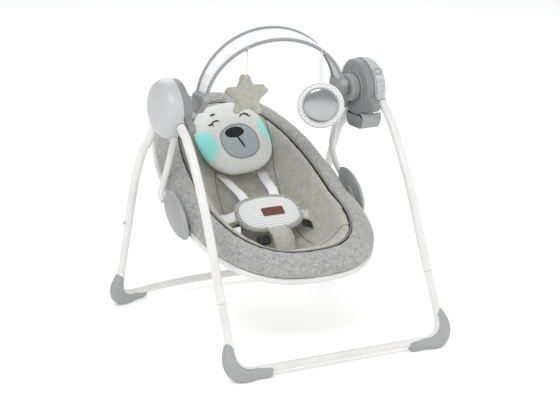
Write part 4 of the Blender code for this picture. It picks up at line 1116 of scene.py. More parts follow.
# Short pile: 0.6 mm tufts drawn at 1.2 mm, over soft 12 mm clouds.
tufts = node(tree, "TexNoise", {"Vector": place, "Scale": 800.0, "Detail": 3.0}).outputs["Fac"]
cloud = node(tree, "TexNoise", {"Vector": place, "Scale": 80.0, "Detail": 3.0}).outputs["Fac"]
both = node(tree, "Mix", {"Factor": 0.35, "A": cloud, "B": tufts}, data_type="FLOAT").outputs["Result"]
colour = ramp(tree, both, (0.3, "#cfd0cb"), (0.7, "#dedfdb"))


def print_spot(colour_in, centre, size, tint, soft=0.35, share=1.0):
    """Prints a soft oval in the map's plane over a colour; centre and size in metres."""
    (x, y), (wide, high) = centre, size
    moved_map = node(tree, "Mapping", {"Vector": flat_map, "Location": (-x / wide, -y / high, 0),
                                       "Scale": (1 / wide, 1 / high, 0)}).outputs["Vector"]
    reach = node(tree, "VectorMath", {0: moved_map}, operation="LENGTH").outputs["Value"]
    speck = node(tree, "MapRange", {"Value": tufts, "To Min": -0.12, "To Max": 0.12}).outputs["Result"]
    ragged = node(tree, "Math", {0: reach, 1: speck}, operation="ADD").outputs["Value"]
    cover = node(tree, "MapRange", {"Value": ragged, "From Min": 1.0, "From Max": 1.0 - soft, "To Max": share},
                 interpolation_type="SMOOTHSTEP").outputs["Result"]
    laid = node(tree, "Mix", {"Factor": cover}, data_type="RGBA")
    tree.links.new(colour_in, laid.inputs[6])
    laid.inputs[7].default_value = linear(tint)
    return laid.outputs[2]


colour = print_spot(colour, (-0.0840, -0.0080), (0.0330, 0.0450), "#96e9de")
colour = print_spot(colour, (0.0890, -0.0040), (0.0280, 0.0410), "#96e9de")
colour = print_spot(colour, (-0.0560, -0.0430), (0.0100, 0.0075), "#e6cfcf", 0.9, 0.4)
colour = print_spot(colour, (0.0650, -0.0290), (0.0110, 0.0090), "#efb9bb", 0.9, 0.8)
tree.links.new(colour, shader.inputs["Base Color"])
bump(tree, shader, tufts, 0.5, 0.0006)

head_form = cushion(HEAD_WIDE * 0.97, HEAD_HIGH * 0.97, HEAD_THICK * 0.92, HEAD_FRAME)
head = sewn("head_cushion_cover", head_form, plush, "seat", ["head_cushion"])
remeshed(head, 0.005)
head_edge = edge_line(HEAD_FRAME, HEAD_WIDE, HEAD_HIGH, 0.8, 160)
edge_near = near([head_edge], 0.008)
puffed(head, lambda p: 0.9 * min(1.0, 1.5 * edge_near(p)), 0.006)
softened(head, 2)
head_back = HEAD_FRAME.inverted()


def head_gathers(place, normal):
    """Small gathers that run in from the edge seam."""
    p = head_back @ place
    a = math.atan2(p.y, p.x)
    rim = edge_wide(place)
    ripple = 0.0007 * math.sin(61 * a + 2 * math.sin(5 * a)) * rim * (1 - rim) * 4
    return normal * (ripple - 0.0016 * edge_near(place) ** 2)


edge_wide = near([head_edge], 0.022)
moved(head, head_gathers)
mapped(head, HEAD_FRAME)
finer(head)


def surface_of(obj):
    made = bmesh.new()
    made.from_mesh(obj.data)
    bmesh.ops.triangulate(made, faces=made.faces)
    tree_of = BVHTree.FromBMesh(made)
    made.free()
    return tree_of


def pressed(surface, frame_of, spots, above):
    """Spots (x, y) of a local plane, dropped on a surface from its front."""
    out = []
    way = (frame_of.to_3x3() @ Vector((0, 0, -1))).normalized()
    for x, y in spots:
        hit = surface.ray_cast(frame_of @ Vector((x, y, 0.2)), way)
        if hit[0]:
            out.append(hit[0] - way * above)
    return out


def sewn_patch(name, surface, frame_of, centre, size, thick, finish, power=2.0, rings=10):
    """A patch on the seat with a soft edge that follows the surface it is sewn to."""
    wide, high = size

    def place_at(u, v):
        a, share = TURN * u, 1 - v
        c, s = math.cos(a), math.sin(a)
        reach = share * squared(c, s, power)
        x, y = centre[0] + wide * c * reach, centre[1] + high * s * reach
        found = pressed(surface, frame_of, [(x, y)], thick * (1 - share ** 8) + 0.0001)
        return found[0] if found else frame_of @ Vector((x, y, 0))

    made = skin(48, rings, place_at, TURN * wide, high)
    grown = bmesh.ops.extrude_face_region(made, geom=made.faces[:])["geom"]
    sunk = frame_of.to_3x3() @ Vector((0, 0, -0.0012))
    bmesh.ops.translate(made, vec=sunk, verts=[g for g in grown if isinstance(g, bmesh.types.BMVert)])
    bmesh.ops.recalc_face_normals(made, faces=made.faces)
    return piece(name, made, finish, "seat", sharp=60)


head_face = surface_of(head)
felt, tree, shader = material("blue_grey_felt", "#a3acb0", 0.95, Sheen_Weight=0.3)
place = node(tree, "TexCoord").outputs["Object"]
# Matted fibres, 0.4 mm, drawn at 1 mm.
fibre = node(tree, "TexNoise", {"Vector": place, "Scale": 950.0, "Detail": 4.0}).outputs["Fac"]
tree.links.new(ramp(tree, fibre, (0.3, "#98a1a5"), (0.7, "#adb6ba")), shader.inputs["Base Color"])
bump(tree, shader, fibre, 0.5, 0.0003)
black_thread, tree, shader = material("black_embroidery_thread", "#0c0c0d", 0.75)
place = node(tree, "TexCoord").outputs["Object"]
# Satin stitch laid side by side, drawn 0.9 mm apart.
satin = node(tree, "TexWave", {"Vector": place, "Scale": 1 / 0.0009 / TURN, "Distortion": 0.5}).outputs["Fac"]
tree.links.new(ramp(tree, satin, (0.2, "#080809"), (0.8, "#131315")), shader.inputs["Base Color"])
bump(tree, shader, satin, 0.6, 0.0003)

MUZZLE_X, MUZZLE_Y = 0.0010, -0.0210
MUZZLE_WIDE, MUZZLE_HIGH, MUZZLE_POWER, STITCH_IN = 0.0490, 0.0450, 2.3, 0.0010
muzzle = sewn_patch("bear_muzzle", head_face, HEAD_FRAME, (MUZZLE_X, MUZZLE_Y), (MUZZLE_WIDE, MUZZLE_HIGH),
                    0.0016, felt, MUZZLE_POWER)
stitch_line = []
for k in range(90):
    c, s = math.cos(TURN * k / 90), math.sin(TURN * k / 90)
    reach = squared(c, s, MUZZLE_POWER)
    stitch_line.append((MUZZLE_X + (MUZZLE_WIDE - STITCH_IN) * c * reach,
                        MUZZLE_Y + (MUZZLE_HIGH - STITCH_IN) * s * reach))
stitches = pressed(head_face, HEAD_FRAME, stitch_line, 0.0015)
piece("muzzle_stitch", tube(stitches, 0.0006, sides=8, closed=True), thread_and_seam_shade_mat, "seat")
muzzle_face = surface_of(muzzle)
sewn_patch("bear_nose", muzzle_face, HEAD_FRAME, (-0.0040, 0.0030), (0.0250, 0.0140), 0.0022, black_thread, 2.1)


def embroidered(name, surface, spots, width):
    """A stitched line with tapered ends."""
    line = pressed(surface, HEAD_FRAME, smooth_flat(spots, 6), 0.0006)
    count = len(line) - 1
    radii = [0.35 + 0.65 * min(1.0, 4 * k / count, 4 * (count - k) / count) for k in range(count + 1)]
    return piece(name, tube(line, width / 2, sides=10, radii=radii), black_thread, "seat")


MOUTH = [(-0.0030, -0.0070), (-0.0005, -0.0170), (0.0025, -0.0290), (0.0055, -0.0420)]
embroidered("bear_mouth", muzzle_face, MOUTH, 0.0044)
# Each eye: its centre, its side, and its lid from that centre. The left lashes droop.
EYES = {"left": ((-0.0390, 0.0390), -1, [(-0.0120, -0.0030), (-0.0050, 0.0030), (0.0020, 0.0050),
                                         (0.0090, 0.0040), (0.0130, 0.0010)]),
        "right": ((0.0410, 0.0370), 1, [(-0.0125, 0.0010), (-0.0060, 0.0070), (0.0020, 0.0085),
                                        (0.0100, 0.0050), (0.0130, -0.0010)])}
LASHES = [((0.0060, 0.004), (0.0085, 0.0125)), ((0.0095, 0.002), (0.0155, 0.0080)),
          ((0.0115, -0.001), (0.0190, 0.0010))]
for label, ((x, y), side, lid) in EYES.items():
    embroidered("bear_eye_" + label, head_face, [(x + along, y + up) for along, up in lid], 0.0034)
    for k, (start, end) in enumerate(LASHES):
        a = (x + side * start[0], y + start[1] + (0.001 if side > 0 else 0))
        b = (x + side * end[0], y + end[1] * (1 if side > 0 else -0.6))
        middle = ((a[0] + b[0]) / 2, (a[1] + b[1]) / 2)
        embroidered("bear_lash_%s_%d" % (label, k + 1), head_face, [a, middle, b], 0.0028)
embroidered("bear_brow", head_face, [(-0.0410, 0.0610), (-0.0340, 0.0630), (-0.0270, 0.0620)], 0.0046)

# Ears: two small stuffed half rounds behind the head, blue grey in front.
for side, (x, y) in ((-1, (-0.0500, 0.0900)), (1, (0.0560, 0.0900))):
    ear_frame = HEAD_FRAME @ Matrix.Translation((x, y, -0.006)) @ Matrix.Rotation(-side * 0.35, 4, "Z")
    ear_form = cushion(0.0250, 0.0200, 0.0085, ear_frame, 2.2, 14)
    ear = sewn(sided("bear_ear", side), ear_form, felt, "seat")
    finer(ear)

# Harness: white woven webbing comes through the back of the liner over both shoulders to a padded
# belly pad with a bound edge. Waist webbing and a velour crotch strap hold the pad down.
webbing, tree, shader = material("woven_polyester_webbing", "#ececec", 0.7, Sheen_Weight=0.15)
flat_map = node(tree, "UVMap").outputs["UV"]
# Herringbone of the webbing: 1 mm ribs, drawn 1.6 mm apart.
ribs = node(tree, "TexWave", {"Vector": flat_map, "Scale": 1 / 0.0016 / TURN},
            bands_direction="DIAGONAL").outputs["Fac"]
rows_of = node(tree, "TexWave", {"Vector": flat_map, "Scale": 1 / 0.004 / TURN},
               bands_direction="X").outputs["Fac"]
weave = node(tree, "Math", {0: ribs, 1: rows_of}, operation="MULTIPLY").outputs["Value"]
tree.links.new(ramp(tree, weave, (0.0, "#dcdddd"), (0.6, "#f1f1f0")), shader.inputs["Base Color"])
bump(tree, shader, weave, 0.6, 0.0004)

BELLY = Vector((0, AXIS_Y - 0.0035, 0.263))
BELLY_LEAN = math.radians(36.87)
BELLY_FRAME = Matrix.Translation(BELLY) @ Matrix.Rotation(BELLY_LEAN, 4, "X")


def strap(points, across_way, wide, thick=0.0018, twist=0.0):
    """A flat webbing along points with slightly crowned faces; across_way is the direction over its width."""
    line = smooth_path(points, 8)
    count = len(line) - 1
    reach = sum((a - b).length for a, b in zip(line, line[1:]))
    across = Vector(across_way).normalized()

    def place_at(u, v):
        k = round(v * count)
        way = (line[min(k + 1, count)] - line[max(k - 1, 0)]).normalized()
        side_way = (across - across.dot(way) * way).normalized()
        side_way = Matrix.Rotation(twist * v, 3, way) @ side_way
        out = side_way.cross(way)
        a = TURN * u
        c, s = math.cos(a), math.sin(a)
        return (line[k] + side_way * (wide / 2 * math.copysign(abs(c) ** 0.35, c))
                + out * (thick / 2 * math.copysign(abs(s) ** 0.6, s)))

    return close_holes(skin(32, count, place_at, wide * 2, reach))


def webbing_piece(name, points, across_way, wide, finish=webbing, thick=0.0018, twist=0.0, stands_for=()):
    return piece(name, strap(points, across_way, wide, thick, twist), finish, "seat", stands_for, sharp=60)


belly_up = (BELLY_FRAME.to_3x3() @ Vector((0, 1, 0))).normalized()
belly_out = (BELLY_FRAME.to_3x3() @ Vector((0, 0, 1))).normalized()
SHOULDERS = {-1: [(-0.0430, 0.062, 0.3010), (-0.0440, 0.090, 0.3070), (-0.0440, 0.125, 0.3150),
                  (-0.0460, 0.160, 0.3230), (-0.0485, 0.195, 0.3340)],
             1: [(0.0400, 0.055, 0.3010), (0.0450, 0.085, 0.3080), (0.0550, 0.125, 0.3120),
                 (0.0640, 0.160, 0.3210), (0.0720, 0.195, 0.3320)]}
for side in (-1, 1):
    top = BELLY + belly_up * 0.044 - belly_out * 0.002 + Vector((side * (0.042 if side < 0 else 0.036), 0, 0))
    path = [top, *shifted(SHOULDERS[side])]
    webbing_piece(sided("shoulder_webbing", side), path, (1, 0.0, 0.0), 0.0245, twist=-side * 0.15,
                  stands_for=[sided("shoulder_strap", side)])

chevron, tree, shader = material("woven_zigzag_cotton", "#ebebe8", 0.85, Sheen_Weight=0.15)
flat_map = node(tree, "UVMap").outputs["UV"]
# Zigzag rows 7 mm apart with a tooth every 9 mm, pale grey on white, over a 1 mm plain weave.
split = node(tree, "SeparateXYZ", {"Vector": flat_map})
tooth = node(tree, "Math", {0: split.outputs["X"], 1: 0.0045}, operation="PINGPONG").outputs["Value"]
tilted = node(tree, "Math", {0: split.outputs["Y"], 1: tooth}, operation="ADD").outputs["Value"]
row = node(tree, "Math", {0: tilted, 1: 0.0035}, operation="PINGPONG").outputs["Value"]
line_of = node(tree, "MapRange", {"Value": row, "From Min": 0.0011, "From Max": 0.0016}).outputs["Result"]
threads = node(tree, "TexNoise", {"Vector": flat_map, "Scale": 900.0, "Detail": 2.0}).outputs["Fac"]
worn = node(tree, "Math", {0: line_of, 1: threads}, operation="ADD").outputs["Value"]
tree.links.new(ramp(tree, worn, (0.45, "#abb0b0"), (0.80, "#e6e7e4")), shader.inputs["Base Color"])
bump(tree, shader, threads, 0.5, 0.0003)

BELLY_WIDE, BELLY_HIGH, BELLY_THICK = 0.0780, 0.0465, 0.0088
belly_form = cushion(BELLY_WIDE, BELLY_HIGH, BELLY_THICK, BELLY_FRAME, 2.7, 20, 0.6)
belly = sewn("belly_pad_cover", belly_form, chevron, "seat", ["belly_pad"])
remeshed(belly, 0.004)
belly_edge = edge_line(BELLY_FRAME, BELLY_WIDE, BELLY_HIGH, 0.74, 180)
belly_near = near([belly_edge], 0.008)
puffed(belly, lambda p: min(1.0, 1.8 * belly_near(p)), 0.004)
softened(belly, 1)
belly_wide = near([belly_edge], 0.016)
moved(belly, lambda p, n: n * (0.0005 * math.sin(900 * p.x) * belly_wide(p) * (1 - belly_wide(p)) * 4))
mapped(belly, BELLY_FRAME)
finer(belly)
bound_edge = edge_line(BELLY_FRAME, BELLY_WIDE + 0.0020, BELLY_HIGH + 0.0017, 0.74, 180)
piece("belly_pad_binding", tube(bound_edge, 0.0042, sides=16, closed=True, flat=1.35), melange, "seat")

# Patch: a blank tab of brown leather, stitched to the belly pad.
leather, tree, shader = material("vegetable_tanned_leather", "#6b402c", 0.55)
place = node(tree, "TexCoord").outputs["Object"]
# Pores and creases of the hide, 0.8 mm, and darker rubbed clouds.
pores = node(tree, "TexVoronoi", {"Vector": place, "Scale": 900.0}).outputs["Distance"]
rubbed = node(tree, "TexNoise", {"Vector": place, "Scale": 120.0, "Detail": 4.0}).outputs["Fac"]
tree.links.new(ramp(tree, rubbed, (0.3, "#5c3422"), (0.7, "#794c35")), shader.inputs["Base Color"])
tree.links.new(node(tree, "MapRange", {"Value": rubbed, "To Min": 0.45, "To Max": 0.65}).outputs["Result"],
               shader.inputs["Roughness"])
bump(tree, shader, pores, 0.4, 0.0002)
belly_face = surface_of(belly)
PATCH_X, PATCH_Y, PATCH_WIDE, PATCH_HIGH = 0.0070, -0.0020, 0.0285, 0.0120
sewn_patch("leather_patch", belly_face, BELLY_FRAME, (PATCH_X, PATCH_Y), (PATCH_WIDE, PATCH_HIGH), 0.0014,
           leather, 14.0, 12)
tab_edge = []
corners = ((-1, -1), (1, -1), (1, 1), (-1, 1))
for (x0, y0), (x1, y1) in zip(corners, corners[1:] + corners[:1]):
    tab_edge += [(PATCH_X + (PATCH_WIDE - 0.0023) * (x0 + (x1 - x0) * t),
                  PATCH_Y + (PATCH_HIGH - 0.0022) * (y0 + (y1 - y0) * t)) for t in (k / 8 for k in range(8))]
stitches = pressed(belly_face, BELLY_FRAME, tab_edge, 0.0016)
piece("patch_stitch", tube(stitches, 0.00045, sides=6, closed=True), thread_and_seam_shade_mat, "seat")

# Crotch strap: the velour strap between the legs, with a melange binding down each edge.
CROTCH_WIDE = 0.0510
crotch_line = [BELLY - belly_up * 0.043 + belly_out * 0.0015,
               *shifted([(0.002, -0.0600, 0.2290), (0.003, -0.0720, 0.2150), (0.003, -0.0800, 0.1950),
                         (0.003, -0.0830, 0.1770)])]
crotch = webbing_piece("crotch_strap_cover", crotch_line, (1, 0, 0), CROTCH_WIDE, velour, 0.0068,
                       stands_for=["crotch_strap"])
finer(crotch)
for side in (-1, 1):
    to_edge = Vector((side * (CROTCH_WIDE / 2 - 0.0010), 0, 0)) + belly_out * 0.0020
    bound = tube(smooth_path([p + to_edge for p in crotch_line], 8), 0.0027, sides=12, flat=1.3)
    piece(sided("crotch_binding", side), bound, melange, "seat")

# Waist webbing, its ladder adjusters, the buckle and a free webbing end.
WAIST = {-1: [(-0.0740, 0.0020, 0.2680), (-0.0900, 0.0060, 0.2620), (-0.1030, 0.0120, 0.2570),
              (-0.1140, 0.0200, 0.2560)],
         1: [(0.0740, -0.0100, 0.2580), (0.0900, -0.0060, 0.2500), (0.1040, 0.0020, 0.2440),
             (0.1150, 0.0120, 0.2440)]}
ADJUSTERS = {-1: (-0.0980, -0.0270, 0.2430), 1: (0.0870, -0.0300, 0.2330)}
for side in (-1, 1):
    webbing_piece(sided("waist_webbing", side), shifted(WAIST[side]), (0, 0.6, 0.8), 0.0230)
    centre = shifted([ADJUSTERS[side]])[0]
    turn = Matrix.Translation(centre) @ Matrix.Rotation(side * 0.35, 4, "Y") @ Matrix.Rotation(BELLY_LEAN, 4, "X")
    made = bmesh.new()
    bmesh.ops.create_cube(made, size=1, matrix=Matrix.Diagonal((0.0270, 0.0200, 0.0045, 1)))
    rounded(made, made.edges[:], 0.0014)
    slots = []
    for y in (-0.0045, 0.0045):
        slot = bmesh.new()
        through = Matrix.Translation((0, y, 0)) @ Matrix.Diagonal((0.0190, 0.0040, 0.01, 1))
        bmesh.ops.create_cube(slot, size=1, matrix=through)
        slots.append(slot)
    made = combined(made, slots)
    bmesh.ops.transform(made, matrix=turn, verts=made.verts)
    piece(sided("waist_adjuster", side), made, black_plastic_and_hole_shade, "seat")
tail = [(-0.0940, -0.0210, 0.2460), (-0.1000, -0.0370, 0.2440), (-0.1080, -0.0490, 0.2350)]
webbing_piece("webbing_tail_left", shifted(tail), (1, 0.2, 0.25), 0.0180)

BUCKLE = Matrix.Translation((-0.0420, AXIS_Y - 0.0580, 0.2170)) @ Matrix.Rotation(BELLY_LEAN, 4, "X")
made = bmesh.new()
bmesh.ops.create_cube(made, size=1, matrix=Matrix.Diagonal((0.0310, 0.0230, 0.0100, 1)))
sides_of = [e for e in made.edges if abs((e.verts[0].co - e.verts[1].co).z) > 0.005]
rounded(made, sides_of, 0.0060, 5)
rims = [e for e in made.edges if abs(e.verts[0].co.z - e.verts[1].co.z) < 1e-6 and e.calc_face_angle(0) > 1]
rounded(made, rims, 0.0016)
press = turned([(0.0042, -0.001), (0.0052, -0.001), (0.0052, 0.003), (0.0042, 0.003), (0.0042, -0.001)],
               (0, 0, 0.0045), (0, 0, 1), 32)
made = combined(made, [press])
bmesh.ops.transform(made, matrix=BUCKLE, verts=made.verts)
piece("buckle_body", made, black_plastic_and_hole_shade, "seat", ["harness_buckle"])

# Toy bar: two steel wires bent in an arch and pushed into the sockets on the arm hubs. A stretched
# white knitted mesh joins them, its two long edges bound in grey round the wires.
ARCH_HALF, REAR_RISE, FRONT_RISE = 0.178, 0.159, 0.139
REAR_Y, FRONT_Y = 0.0085, -0.0375
WIRE_R = 0.0034


def arch_point(v, y, rise):
    first = math.asin(0.030 / rise)
    a = first + (math.pi - 2 * first) * v
    return Vector((-ARCH_HALF * math.cos(a), AXIS_Y + y, AXIS_Z + rise * math.sin(a)))


binding, tree, shader = material("ribbed_polyester_binding", "#8f9394", 0.6, Sheen_Weight=0.2)
along = node(tree, "UVMap").outputs["UV"]
# Ribs of the tape, 1.2 mm apart round the wire.
ribs = node(tree, "TexWave", {"Vector": along, "Scale": 1 / 0.0024 / TURN},
            bands_direction="Y").outputs["Fac"]
tree.links.new(ramp(tree, ribs, (0.0, "#7e8284"), (1.0, "#a2a6a7")), shader.inputs["Base Color"])
bump(tree, shader, ribs, 0.5, 0.0003)
for name, y, rise in (("rear", REAR_Y, REAR_RISE), ("front", FRONT_Y, FRONT_RISE)):
    line = [arch_point(k / 90, y, rise) for k in range(91)]
    piece("toy_bar_binding_" + name, tube(line, WIRE_R + 0.0008, sides=20), binding, "toy_bar",
          ["toy_bar_wire_" + name])

knit, tree, shader = material("white_knitted_mesh", "#f0f1f1", 0.75, Sheen_Weight=0.2)
flat_map = node(tree, "UVMap").outputs["UV"]
# Holes of the knit 1.5 mm apart, painted darker as the shade between the yarns, drawn about as coarse as they need to
# show.
cells = node(tree, "TexVoronoi", {"Vector": flat_map, "Scale": 1 / 0.0015,
                                  "Randomness": 0.25}).outputs["Distance"]
slack = node(tree, "TexNoise", {"Vector": flat_map, "Scale": 60.0, "Detail": 2.0}).outputs["Fac"]
knit_hole_shade = node(tree, "Math", {0: cells, 1: slack}, operation="MULTIPLY").outputs["Value"]
tree.links.new(ramp(tree, knit_hole_shade, (0.05, "#cfd2d3"), (0.22, "#f3f4f4")), shader.inputs["Base Color"])
bump(tree, shader, cells, 0.5, 0.0003)
BAND_CLEAR = WIRE_R + 0.0006


def band_at(u, v):
    """The mesh between the two wires, which sags and creases a little; its faces are 1 mm apart."""
    rear, front = arch_point(v, REAR_Y, REAR_RISE), arch_point(v, FRONT_Y, FRONT_RISE)
    way = front - rear
    edge = way.normalized()
    wide = way.length / 2 - BAND_CLEAR
    on = arch_point(min(v + 0.002, 1), REAR_Y, REAR_RISE) - arch_point(max(v - 0.002, 0), REAR_Y, REAR_RISE)
    out = on.normalized().cross(edge)
    a = TURN * u
    c, s = math.cos(a), math.sin(a)
    x = math.copysign(abs(c) ** 0.5, c)
    sag = -0.0035 * (1 - x * x) * math.sin(math.pi * v) ** 0.25
    folds = 0.0006 * math.sin(46 * v + 2 * x) * math.sin(17 * v) * (1 - x * x)
    face = 0.0005 * math.copysign(abs(s) ** 0.6, s)
    return (rear + front) / 2 + edge * (wide * x) + out * (sag + folds + face)


rear_line = [arch_point(k / 90, REAR_Y, REAR_RISE) for k in range(91)]
ARCH_LENGTH = sum((b - a).length for a, b in zip(rear_line, rear_line[1:]))
band_made = close_holes(skin(40, 180, band_at, 0.088, ARCH_LENGTH))
band_area = sum(f.calc_area() for f in band_made.faces) / 2
band = piece("toy_bar_mesh", band_made, knit, "toy_bar", ["toy_bar_band"], sharp=180)

# Sockets: a moulded grey cheek on each arm hub, with a collar for each wire and a round boss.
for side in (-1, 1):
    outline = [(0, AXIS_Z, 0.0190), (REAR_Y, AXIS_Z + 0.0212, 0.0070), (FRONT_Y, AXIS_Z + 0.0212, 0.0070)]
    made = hull_slab(outline, side * 0.1690, side * 0.1860, 0.0018, 4)
    boss = turned([(0, 0.1795), (0.0150, 0.1795), (0.0150, 0.2030), (0.0142, 0.2044), (0, 0.2044)],
                  (0, AXIS_Y, AXIS_Z), (side, 0, 0), 64)
    lens = turned([(0, 0.1650), (0.0120, 0.1650), (0.0128, 0.1656), (0.0128, 0.1695), (0, 0.1695)],
                  (0, AXIS_Y, AXIS_Z), (side, 0, 0), 48)
    collars = []
    for y in (REAR_Y, FRONT_Y):
        collars.append(turned([(0, 0.0160), (0.0068, 0.0160), (0.0068, 0.0302), (0.0060, 0.0312),
                               (0, 0.0312)], (side * ARCH_HALF * 0.985, AXIS_Y + y, AXIS_Z), (0, 0, 1), 40))
    piece(sided("toy_bar_cheek", side), combined(made, [boss, lens, *collars], "UNION"), abs_grey, "toy_bar",
          [sided("toy_bar_socket", side)])
    screw(sided("toy_bar_screw", side), Vector((side * 0.1650, AXIS_Y, AXIS_Z)), Vector((-side, 0, 0)), "toy_bar")

# Star: a stuffed velour star over a flat second star. It hangs from the front wire on a short cotton
# cord that is knotted round the binding.
STAR_X, STAR_Z, STAR_R = -0.073, 0.556, 0.052
TOY_TURN = math.radians(-28)
STAR_FRAME = (Matrix.Translation((STAR_X, AXIS_Y + FRONT_Y, STAR_Z)) @ Matrix.Rotation(TOY_TURN, 4, "Z")
              @ Matrix.Rotation(math.pi / 2, 4, "X"))


def wire_z(x):
    return AXIS_Z + FRONT_RISE * math.sqrt(1 - (x / ARCH_HALF) ** 2)


def wire_loop(x, gap):
    """A ring round the front wire."""
    middle = Vector((x, AXIS_Y + FRONT_Y, wire_z(x)))
    return [middle + (WIRE_R + gap) * Vector((0, math.sin(a), -math.cos(a)))
            for a in (TURN * k / 36 for k in range(36))]


def star_outline(reach):
    corners = []
    for k in range(5):
        a = TURN / 4 + TURN * k / 5
        tip = Vector((math.cos(a), math.sin(a), 0)) * reach
        off = Vector((-math.sin(a), math.cos(a), 0)) * reach * 0.125
        inner = a + TURN / 10
        corners += [tip * 0.93 - off, tip, tip * 0.93 + off,
                    Vector((math.cos(inner), math.sin(inner), 0)) * reach * 0.60]
    return smooth_path(corners, 6, closed=True)


STAR_RINGS = [(0.12, 1.0), (0.35, 0.97), (0.58, 0.88), (0.78, 0.68), (0.91, 0.44), (0.98, 0.20), (1.0, 0.0)]


def star_form(reach, thick, frame_of):
    """A star with a raised middle, from rings that grow over its front and shrink over its back."""
    line = star_outline(reach)
    made = bmesh.new()
    loops = []
    for grow, high in STAR_RINGS + [(grow, -high) for grow, high in STAR_RINGS[-2::-1]]:
        loops.append([made.verts.new(frame_of @ Vector((p.x * grow, p.y * grow, thick * high))) for p in line])
    for one, two in zip(loops, loops[1:]):
        edges = []
        for loop in (one, two):
            for k in range(len(loop)):
                edge = made.edges.get((loop[k], loop[(k + 1) % len(loop)]))
                edges.append(edge or made.edges.new((loop[k], loop[(k + 1) % len(loop)])))
        bmesh.ops.bridge_loops(made, edges=list(dict.fromkeys(edges)))
    close_holes(made)
    bmesh.ops.recalc_face_normals(made, faces=made.faces[:])
    return made


star_velour, tree, shader = material("beige_star_velour", "#a4a397", 0.92, Sheen_Weight=0.45,
                                     Sheen_Roughness=0.5)
place = node(tree, "TexCoord").outputs["Object"]
# Short pile, 0.7 mm tufts and 12 mm rubbed patches.
tufts = node(tree, "TexNoise", {"Vector": place, "Scale": 900.0, "Detail": 3.0}).outputs["Fac"]
patches = node(tree, "TexNoise", {"Vector": place, "Scale": 80.0, "Detail": 4.0,
                                  "Roughness": 0.65}).outputs["Fac"]
pile = node(tree, "Math", {0: tufts, 1: patches}, operation="ADD").outputs["Value"]
tree.links.new(ramp(tree, pile, (0.75, "#908f84"), (1.30, "#afaea4")), shader.inputs["Base Color"])
bump(tree, shader, pile, 0.7, 0.0006)

star_near = near([[STAR_FRAME @ p for p in star_outline(STAR_R * 0.985)]], 0.006)
star = sewn("star_cover", star_form(STAR_R * 0.985, 0.0075, STAR_FRAME), star_velour, "star", ["star_toy"])
remeshed(star, 0.0022)
puffed(star, lambda p: min(1.0, 1.6 * star_near(p)), 0.005)
softened(star, 1)
finer(star)
under_frame = (STAR_FRAME @ Matrix.Rotation(math.radians(9), 4, "Z")
               @ Matrix.Translation((-0.0035, 0.0015, -0.0075)))
under = sewn("star_under_layer", star_form(STAR_R * 0.93, 0.0030, under_frame), velour, "star")

cord_mat, tree, shader = material("twisted_cotton_cord", "#cdc5af", 0.85, Sheen_Weight=0.2)
along = node(tree, "UVMap").outputs["UV"]
# Two plies with a turn every 4 mm.
plies = node(tree, "TexWave", {"Vector": along, "Scale": 1 / 0.004 / TURN, "Distortion": 0.4},
             bands_direction="DIAGONAL").outputs["Fac"]
tree.links.new(ramp(tree, plies, (0.1, "#b3aa92"), (0.7, "#d9d2bf")), shader.inputs["Base Color"])
bump(tree, shader, plies, 0.6, 0.0004)
STAR_CORD_R = 0.0011
star_top = STAR_FRAME @ Vector((0, STAR_R * 0.96, 0))
hang = Vector((STAR_X, AXIS_Y + FRONT_Y, wire_z(STAR_X) - WIRE_R - 0.0014))
waver = Vector((0.0004, 0, 0))
cord_line = smooth_path([hang, hang.lerp(star_top, 0.33) + waver, hang.lerp(star_top, 0.66) - waver, star_top], 10)
star_cord = piece("star_cord", tube(cord_line, STAR_CORD_R, sides=12), cord_mat, "star")
piece("star_cord_loop", tube(wire_loop(STAR_X, 0.0016), 0.0010, sides=12, closed=True), cord_mat, "toy_bar")
knot = turned([(0, -0.0026), (0.0016, -0.0024), (0.0026, -0.0010), (0.0026, 0.0010), (0.0016, 0.0024), (0, 0.0026)],
              hang - Vector((0, 0, 0.0012)), (0.3, 0.2, 1), 24)
star_knot = piece("star_knot", knot, cord_mat, "star")
cord_long = sum((a - b).length for a, b in zip(cord_line, cord_line[1:]))
[tuple(p) for p in cord_line]

# Mirror toy: a padded ring in the zigzag cotton round a convex plastic mirror, hung from the front wire
# on a white ribbon that is sewn into the ring's top.
MIRROR_X, MIRROR_Z, MIRROR_R = 0.117, 0.514, 0.054
MIRROR_FRAME = (Matrix.Translation((MIRROR_X, AXIS_Y + FRONT_Y, MIRROR_Z)) @ Matrix.Rotation(TOY_TURN, 4, "Z")
                @ Matrix.Rotation(math.pi / 2, 4, "X"))
RING_MID, RING_WIDE, RING_THICK = 0.0470, 0.0066, 0.0075


def ring_at(u, v):
    a, b = TURN * u, TURN * v
    reach = RING_MID + RING_WIDE * math.cos(a)
    return MIRROR_FRAME @ Vector((reach * math.cos(b), reach * math.sin(b), RING_THICK * math.sin(a)))


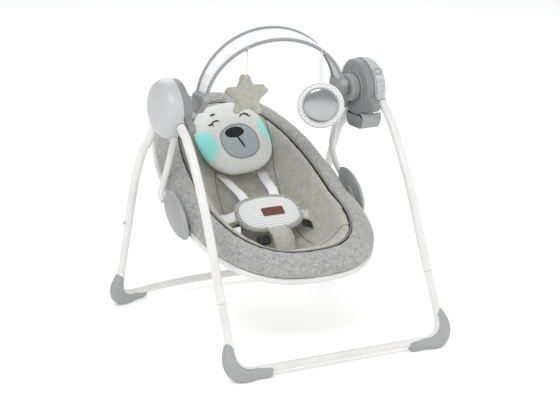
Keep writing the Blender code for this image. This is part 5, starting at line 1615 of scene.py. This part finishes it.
# The cloth's zigzag runs along the ring; its strip is 34 mm wide and cut a quarter short, then stretched.
ring = skin(150, 28, lambda v, u: ring_at(u, v), 0.75 * TURN * RING_MID, 0.034)
bmesh.ops.recalc_face_normals(ring, faces=ring.faces[:])
ring_cover = sewn("mirror_ring_cover", ring, chevron, "mirror", ["mirror_ring"])
ring_rims = [edge_line(MIRROR_FRAME, r, r, 1, 160) for r in (RING_MID - RING_WIDE, RING_MID + RING_WIDE)]
ring_near = near(ring_rims, 0.004)
puffed(ring_cover, lambda p: min(1.0, 1.8 * ring_near(p)), 0.0022)
finer(ring_cover)
piece("mirror_ring_piping", tube(ring_rims[1], 0.0011, sides=10, closed=True), webbing, "mirror")

mirror_mat, tree, shader = material("silvered_acrylic", "#acafb0", 0.16, metallic=1.0)
place = node(tree, "TexCoord").outputs["Object"]
# Faint haze of handling, in 10 mm clouds.
haze = node(tree, "TexNoise", {"Vector": place, "Scale": 100.0, "Detail": 3.0}).outputs["Fac"]
tree.links.new(node(tree, "MapRange", {"Value": haze, "To Min": 0.12, "To Max": 0.24}).outputs["Result"],
               shader.inputs["Roughness"])
facing = (MIRROR_FRAME.to_3x3() @ Vector((0, 0, 1))).normalized()
GLASS_R, BULGE = 0.0400, 0.0065
profile = [(0, -0.0050), (GLASS_R, -0.0050), (GLASS_R + 0.0004, -0.0010)]
profile += [(GLASS_R * math.cos(a), 0.0006 + BULGE * math.sin(a)) for a in (TURN / 4 * k / 14 for k in range(15))]
made = turned(profile, MIRROR_FRAME @ Vector((0, 0, 0.0010)), facing, 96)
piece("convex_mirror", made, mirror_mat, "mirror", ["mirror_disc"])
bezel_line = edge_line(MIRROR_FRAME @ Matrix.Translation((0, 0, 0.0022)), GLASS_R - 0.0002, GLASS_R - 0.0002, 1, 120)
piece("mirror_bezel", tube(bezel_line, 0.0013, sides=12, closed=True), abs_grey, "mirror")

ribbon_top = Vector((MIRROR_X, AXIS_Y + FRONT_Y, wire_z(MIRROR_X) - WIRE_R - 0.0030))
ribbon_low = MIRROR_FRAME @ Vector((0, MIRROR_R - 0.003, 0))
across = (math.cos(TOY_TURN), math.sin(TOY_TURN), 0)
ribbon_line = [ribbon_top, ribbon_top.lerp(ribbon_low, 0.3) + facing * 0.0008,
               ribbon_top.lerp(ribbon_low, 0.7) - facing * 0.0006, ribbon_low]
piece("mirror_ribbon", strap(ribbon_line, across, 0.0100, 0.0012), webbing, "mirror")
piece("mirror_ribbon_loop", tube(wire_loop(MIRROR_X, 0.0014), 0.0008, sides=12, closed=True), webbing, "toy_bar")
